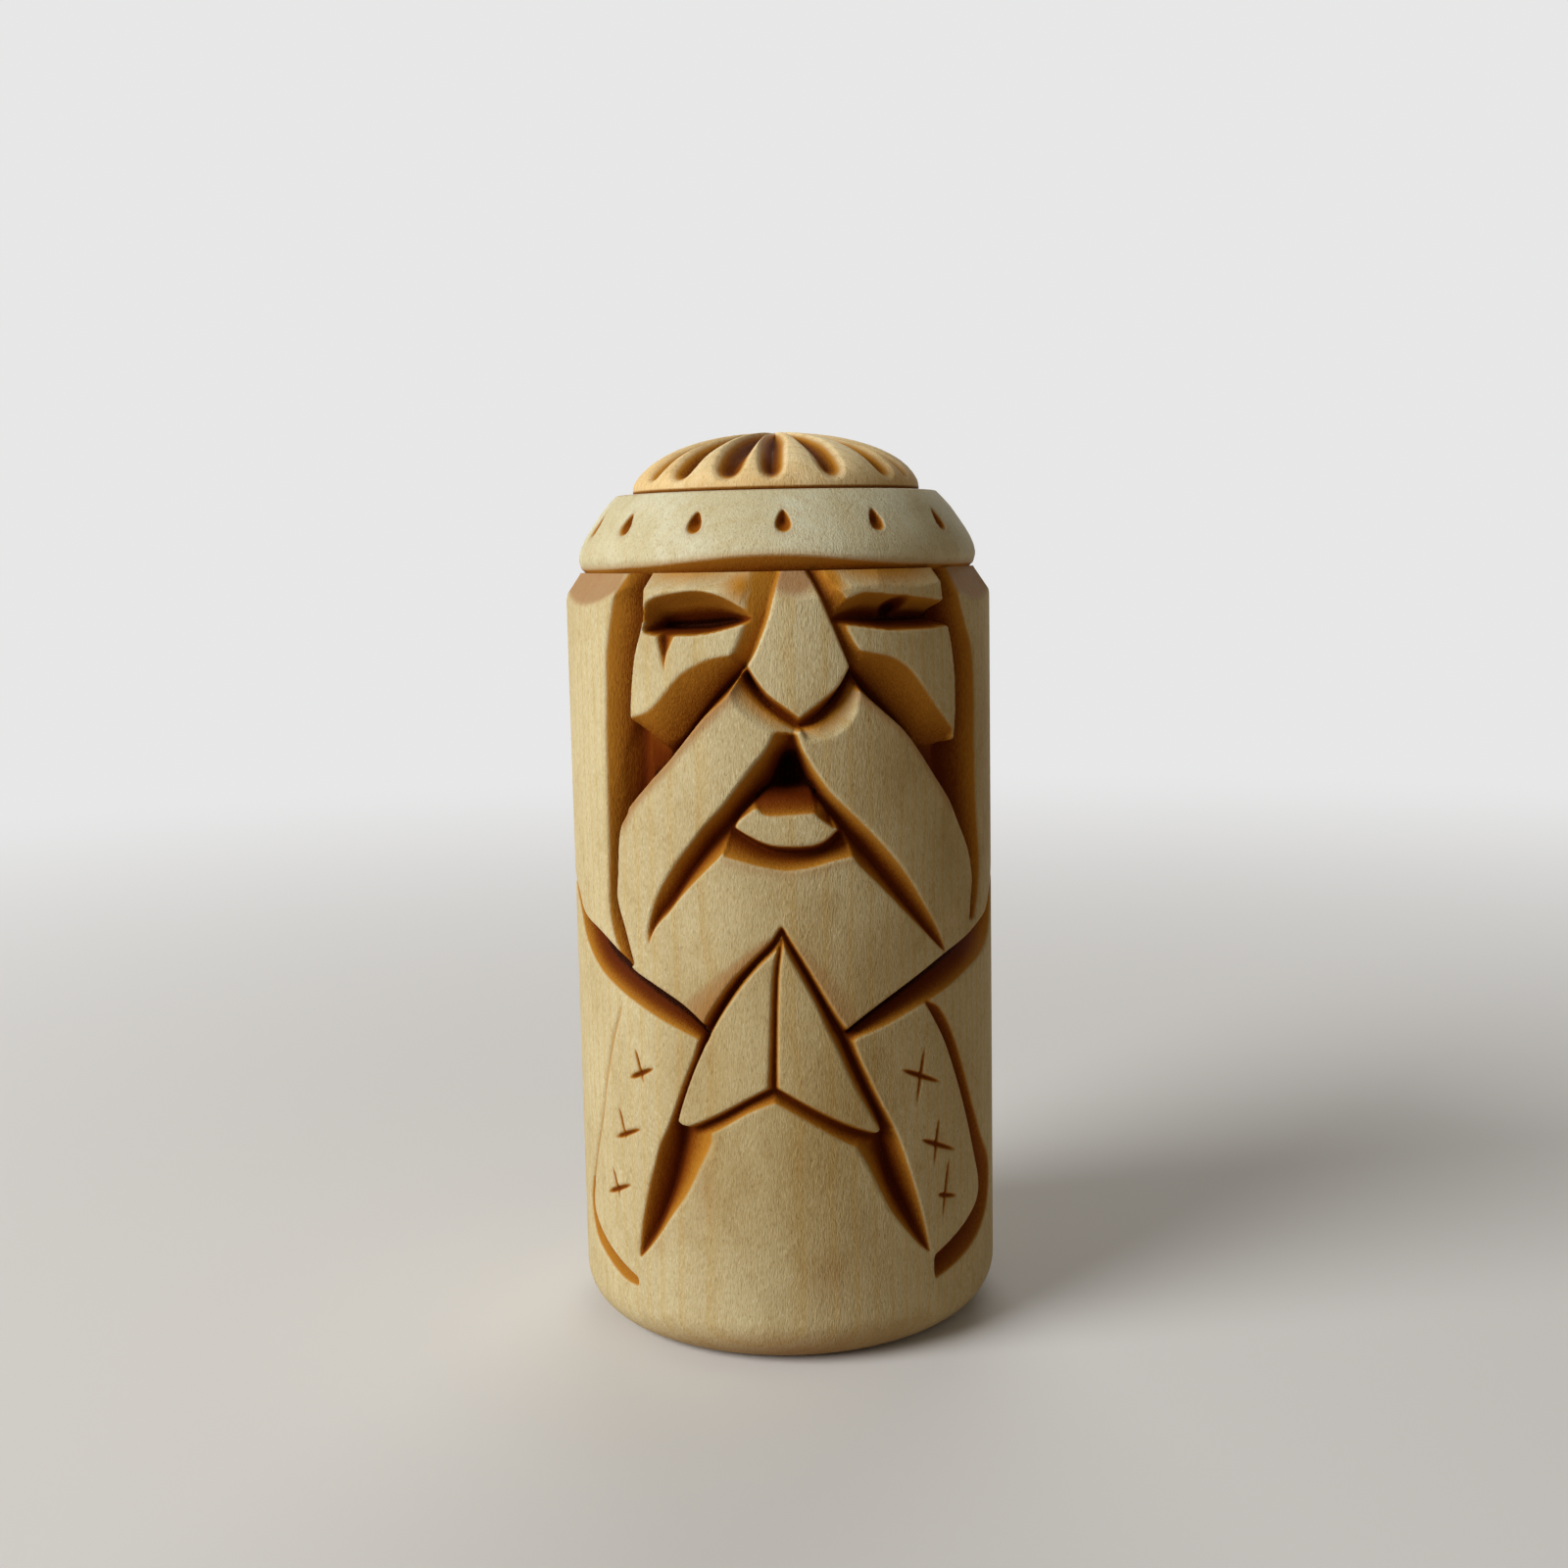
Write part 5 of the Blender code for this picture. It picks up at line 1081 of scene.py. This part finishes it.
# %% Make the wood
LIGHT_AMBER = (0.49, 0.21, 0.02, 1)
AMBER = (0.27, 0.073, 0.004, 1)
BROWN = (0.12, 0.021, 0.0018, 1)
BLACK = (0.010, 0.002, 0.0006, 1)
RING_LINE, PORE, LIGHT_FIBRE = (0.64, 0.45, 0.16, 1), (0.30, 0.19, 0.07, 1), (0.94, 0.86, 0.62, 1)
DARK_FIBRE, SPECK, MOTTLE = (0.86, 0.81, 0.70, 1), (0.82, 0.72, 0.58, 1), (0.90, 0.85, 0.77, 1)
WASH_AND_SHADE, BLUSH_AND_SHADE = (0.70, 0.60, 0.44, 1), (0.36, 0.16, 0.06, 1)


def carved_wood(name, pale, deep_pale, ring_strength):
    """Wood between two pale colours: rings, pores and fibres on it, then wash, blush, amber, brown and black from
    the stain and the painted shade.
    """
    material = bpy.data.materials.new(name)
    material.use_nodes = True
    tree = material.node_tree
    shader = tree.nodes["Principled BSDF"]
    place = add(tree, "ShaderNodeTexCoord").outputs["Object"]
    tree_middle = add(tree, "ShaderNodeMapping", {"Vector": place, "Location": (0.012, 0.075, 0.0)}).outputs[0]
    sockets = {"Vector": tree_middle, "Scale": 300.0, "Distortion": 2.2, "Detail": 2.0, "Detail Scale": 0.25}
    rings = add(tree, "ShaderNodeTexWave", sockets, wave_type="RINGS", rings_direction="Z", wave_profile="SAW")
    ring = remap(tree, rings.outputs["Fac"], 0.55, 1.0)
    pore = noise(tree, place, 4.0, 8000.0, 1.5)
    fibre = noise(tree, place, 4.0, 9500.0)
    cloud = noise(tree, place, 1.6, 130.0, 4.0)
    speck = noise(tree, place, 1.6, 2300.0, 4.0, 0.65)
    mottle = noise(tree, place, 1.4, 650.0, 3.0, 0.6)
    uneven = remap(tree, fibre, 0.3, 0.7, 0.9, 1.08)
    thin = remap(tree, cloud, 0.3, 0.7, 0.7, 1.15)

    stain_and_shade = add(tree, "ShaderNodeAttribute", attribute_name="stain_and_shade").outputs
    parts = add(tree, "ShaderNodeSeparateColor", {0: stain_and_shade["Color"]}).outputs
    is_cut, is_dark, is_blush_and_shade = (maths(tree, "MULTIPLY", part, uneven, True) for part in parts[:3])
    is_wash_and_shade = maths(tree, "MULTIPLY", stain_and_shade["Alpha"], thin, True)

    colour = mix(tree, remap(tree, cloud, 0.35, 0.65), pale, deep_pale)
    # The wash, blush, amber and brown layers carry painted shade as well as stain, where the numbers above put it.
    for blend, factor, layer in (
        ("MIX", maths(tree, "MULTIPLY", ring, ring_strength), RING_LINE),
        ("MIX", maths(tree, "MULTIPLY", remap(tree, pore, 0.58, 0.74), 0.42), PORE),
        ("MIX", remap(tree, fibre, 0.52, 0.66, 0.0, 0.3), LIGHT_FIBRE),
        ("MULTIPLY", remap(tree, fibre, 0.48, 0.34, 0.0, 0.6), DARK_FIBRE),
        ("MULTIPLY", remap(tree, speck, 0.55, 0.75, 0.0, 0.6), SPECK),
        ("MULTIPLY", remap(tree, mottle, 0.5, 0.68, 0.0, 0.6), MOTTLE),
        ("MULTIPLY", is_wash_and_shade, WASH_AND_SHADE),
        ("MIX", maths(tree, "MULTIPLY", is_blush_and_shade, 0.8), BLUSH_AND_SHADE),
        ("MIX", remap(tree, is_cut, 0.0, 0.6, 0.0, 0.985), LIGHT_AMBER),
        ("MIX", remap(tree, is_cut, 0.55, 1.0), AMBER),
        ("MIX", remap(tree, is_dark, 0.06, 0.7), BROWN),
        ("MIX", remap(tree, is_dark, 0.75, 1.05), BLACK),
    ):
        colour = mix(tree, factor, colour, layer, blend)

    raised = maths(tree, "ADD", maths(tree, "MULTIPLY", fibre, 0.5), maths(tree, "MULTIPLY", pore, -0.5))
    raised = maths(tree, "ADD", raised, maths(tree, "MULTIPLY", speck, 0.8))
    bump = add(tree, "ShaderNodeBump", {"Strength": 0.75, "Distance": 0.00012, "Height": raised})
    shader.inputs["Specular IOR Level"].default_value = 0.03
    tree.links.new(colour, shader.inputs["Base Color"])
    tree.links.new(remap(tree, is_dark, 0.1, 0.9, 0.55, 0.5), shader.inputs["Roughness"])
    tree.links.new(bump.outputs[0], shader.inputs["Normal"])
    return material


pale_wood = carved_wood("pale_wood", (0.70, 0.605, 0.355, 1), (0.62, 0.515, 0.285, 1), 0.45)
# The band's wood is paler and greyer than the rest: partly its own wood, partly a painted cool sheen of light from
# the sky.
band_wood_with_sheen = carved_wood("band_wood_with_sheen", (0.76, 0.735, 0.53, 1), (0.67, 0.60, 0.37, 1), 0.12)
# The cap's wood is brighter and warmer: partly golden wood, partly painted light falling on it from above.
warm_wood = carved_wood("warm_wood", (0.95, 0.77, 0.44, 1), (0.87, 0.62, 0.29, 1), 0.3)
print("wood made")

# %% [markdown]
# Each piece rides on the one body that there is, stands for its CAD solid, and takes the wood of its part of the
# blank: the band's paler wood with its painted sheen, the cap's warmer wood with its painted top light, and the
# pale rest. The core is hidden inside, so its own solid stays.
# the blank has: the dry band, the warm cap, and the pale rest. The core is hidden inside, so its own solid stays.

# %% Give each piece its wood, body and CAD solid
for name, piece in pieces.items():
    piece.data.materials.append({"headband": band_wood_with_sheen, "skullcap": warm_wood}.get(name, pale_wood))
    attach(piece, "root")
    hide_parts(name)
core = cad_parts["core"]
core.data.materials.clear()
core.data.materials.append(pale_wood)
print(len(pieces), "pieces dressed")

# %% [markdown]
# ## Floor, light and camera
# The figurine stands on a plain floor that fades into a plain backdrop, as paper rolled down behind it does. The
# floor gives back a little warm light, as the wooden table in the picture does, but the eye sees it as pale.

# %% Floor
BACKDROP = (0.80, 0.80, 0.80, 1)


def seen_by_eye(tree):
    """1 for a ray from the camera, or one that a mirror or glass has turned, and 0 for light on its way round."""
    rays = add(tree, "ShaderNodeLightPath").outputs
    turned = maths(tree, "MAXIMUM", rays["Is Glossy Ray"], rays["Is Transmission Ray"])
    return maths(tree, "MAXIMUM", rays["Is Camera Ray"], turned)


floor_mesh = bpy.data.meshes.new("floor")
side = np.array([[-1, -1], [1, -1], [1, 1], [-1, 1]]) * 4.0
floor_mesh.from_pydata(np.hstack([side, np.zeros((4, 1))]).tolist(), [], [(0, 1, 2, 3)])
floor = bpy.data.objects.new("floor", floor_mesh)
bpy.context.scene.collection.objects.link(floor)
floor_paint = bpy.data.materials.new("floor_paint")
floor_paint.use_nodes = True
tree = floor_paint.node_tree
paint = tree.nodes["Principled BSDF"]
seen = seen_by_eye(tree)
tree.links.new(mix(tree, seen, (0.42, 0.33, 0.24, 1), (0.80, 0.79, 0.77, 1)), paint.inputs["Base Color"])
paint.inputs["Roughness"].default_value = 0.85
glow = add(tree, "ShaderNodeEmission", {"Color": BACKDROP}).outputs[0]
place = add(tree, "ShaderNodeTexCoord").outputs["Object"]
far = add(tree, "ShaderNodeVectorMath", {0: place}, operation="LENGTH").outputs["Value"]
faded = maths(tree, "MULTIPLY", remap(tree, far, 0.06, 0.42), seen)
blend = add(tree, "ShaderNodeMixShader", {0: faded, 1: paint.outputs[0], 2: glow}).outputs[0]
tree.links.new(blend, tree.nodes["Material Output"].inputs["Surface"])
floor.data.materials.append(floor_paint)
print("floor laid")

# %% [markdown]
# A big soft lamp stands where the window is, high at the left, and weak ones fill the other sides. The camera
# is where the fit to the photograph's outline put it: close to the front, a little above, looking down 7 degrees.

# %% Lamps
def lamp(name, power, size, place, aim):
    """A round soft lamp at a place, turned so that it looks at its aim."""
    light = bpy.data.lights.new(name, "AREA")
    light.energy = power
    light.shape = "DISK"
    light.size = size
    holder = bpy.data.objects.new(name, light)
    holder.location = place
    holder.rotation_euler = (Vector(aim) - Vector(place)).to_track_quat("-Z", "Y").to_euler()
    bpy.context.scene.collection.objects.link(holder)


lamp("window", 8.0, 0.60, (-0.69, -0.40, 0.46), (0, 0, 0.05))
lamp("room", 0.18, 0.7, (0.55, -0.75, 0.35), (0, 0, 0.04))
lamp("back_wall", 3.0, 0.8, (0.10, 0.90, 0.50), (0, 0, 0.04))
print("lamps", [light.name for light in bpy.data.lights])

# %% Air of the room: warm and weak as a light, plain and pale to the eye
world = bpy.data.worlds.new("room_air")
world.use_nodes = True
bpy.context.scene.world = world
air = world.node_tree
background = air.nodes["Background"]
background.inputs["Color"].default_value = (0.95, 0.80, 0.60, 1)
background.inputs["Strength"].default_value = 0.12
shown = add(air, "ShaderNodeBackground", {"Color": BACKDROP, "Strength": 1.0}).outputs[0]
sky = add(air, "ShaderNodeMixShader", {0: seen_by_eye(air), 1: background.outputs[0], 2: shown}).outputs[0]
air.links.new(sky, air.nodes["World Output"].inputs["Surface"])
print("air", len(air.nodes), "nodes")

# %% Camera
LOOK_DOWN, LEAN = 7.2, -1.12
lens = bpy.data.cameras.new("photo_view")
lens.sensor_width = 36.0
lens.lens = 42.75
lens.clip_start = 0.001
camera = bpy.data.objects.new("photo_view", lens)
camera.matrix_world = (
    Matrix.Translation((0.00022, -0.1692, 0.0691))
    @ Euler((math.radians(90 - LOOK_DOWN), 0, 0)).to_matrix().to_4x4()
    @ Matrix.Rotation(math.radians(LEAN), 4, "Z")
)
bpy.context.scene.collection.objects.link(camera)
bpy.context.scene.camera = camera
bpy.context.scene.view_settings.view_transform = "Standard"
print("camera at", list(camera.matrix_world.translation))
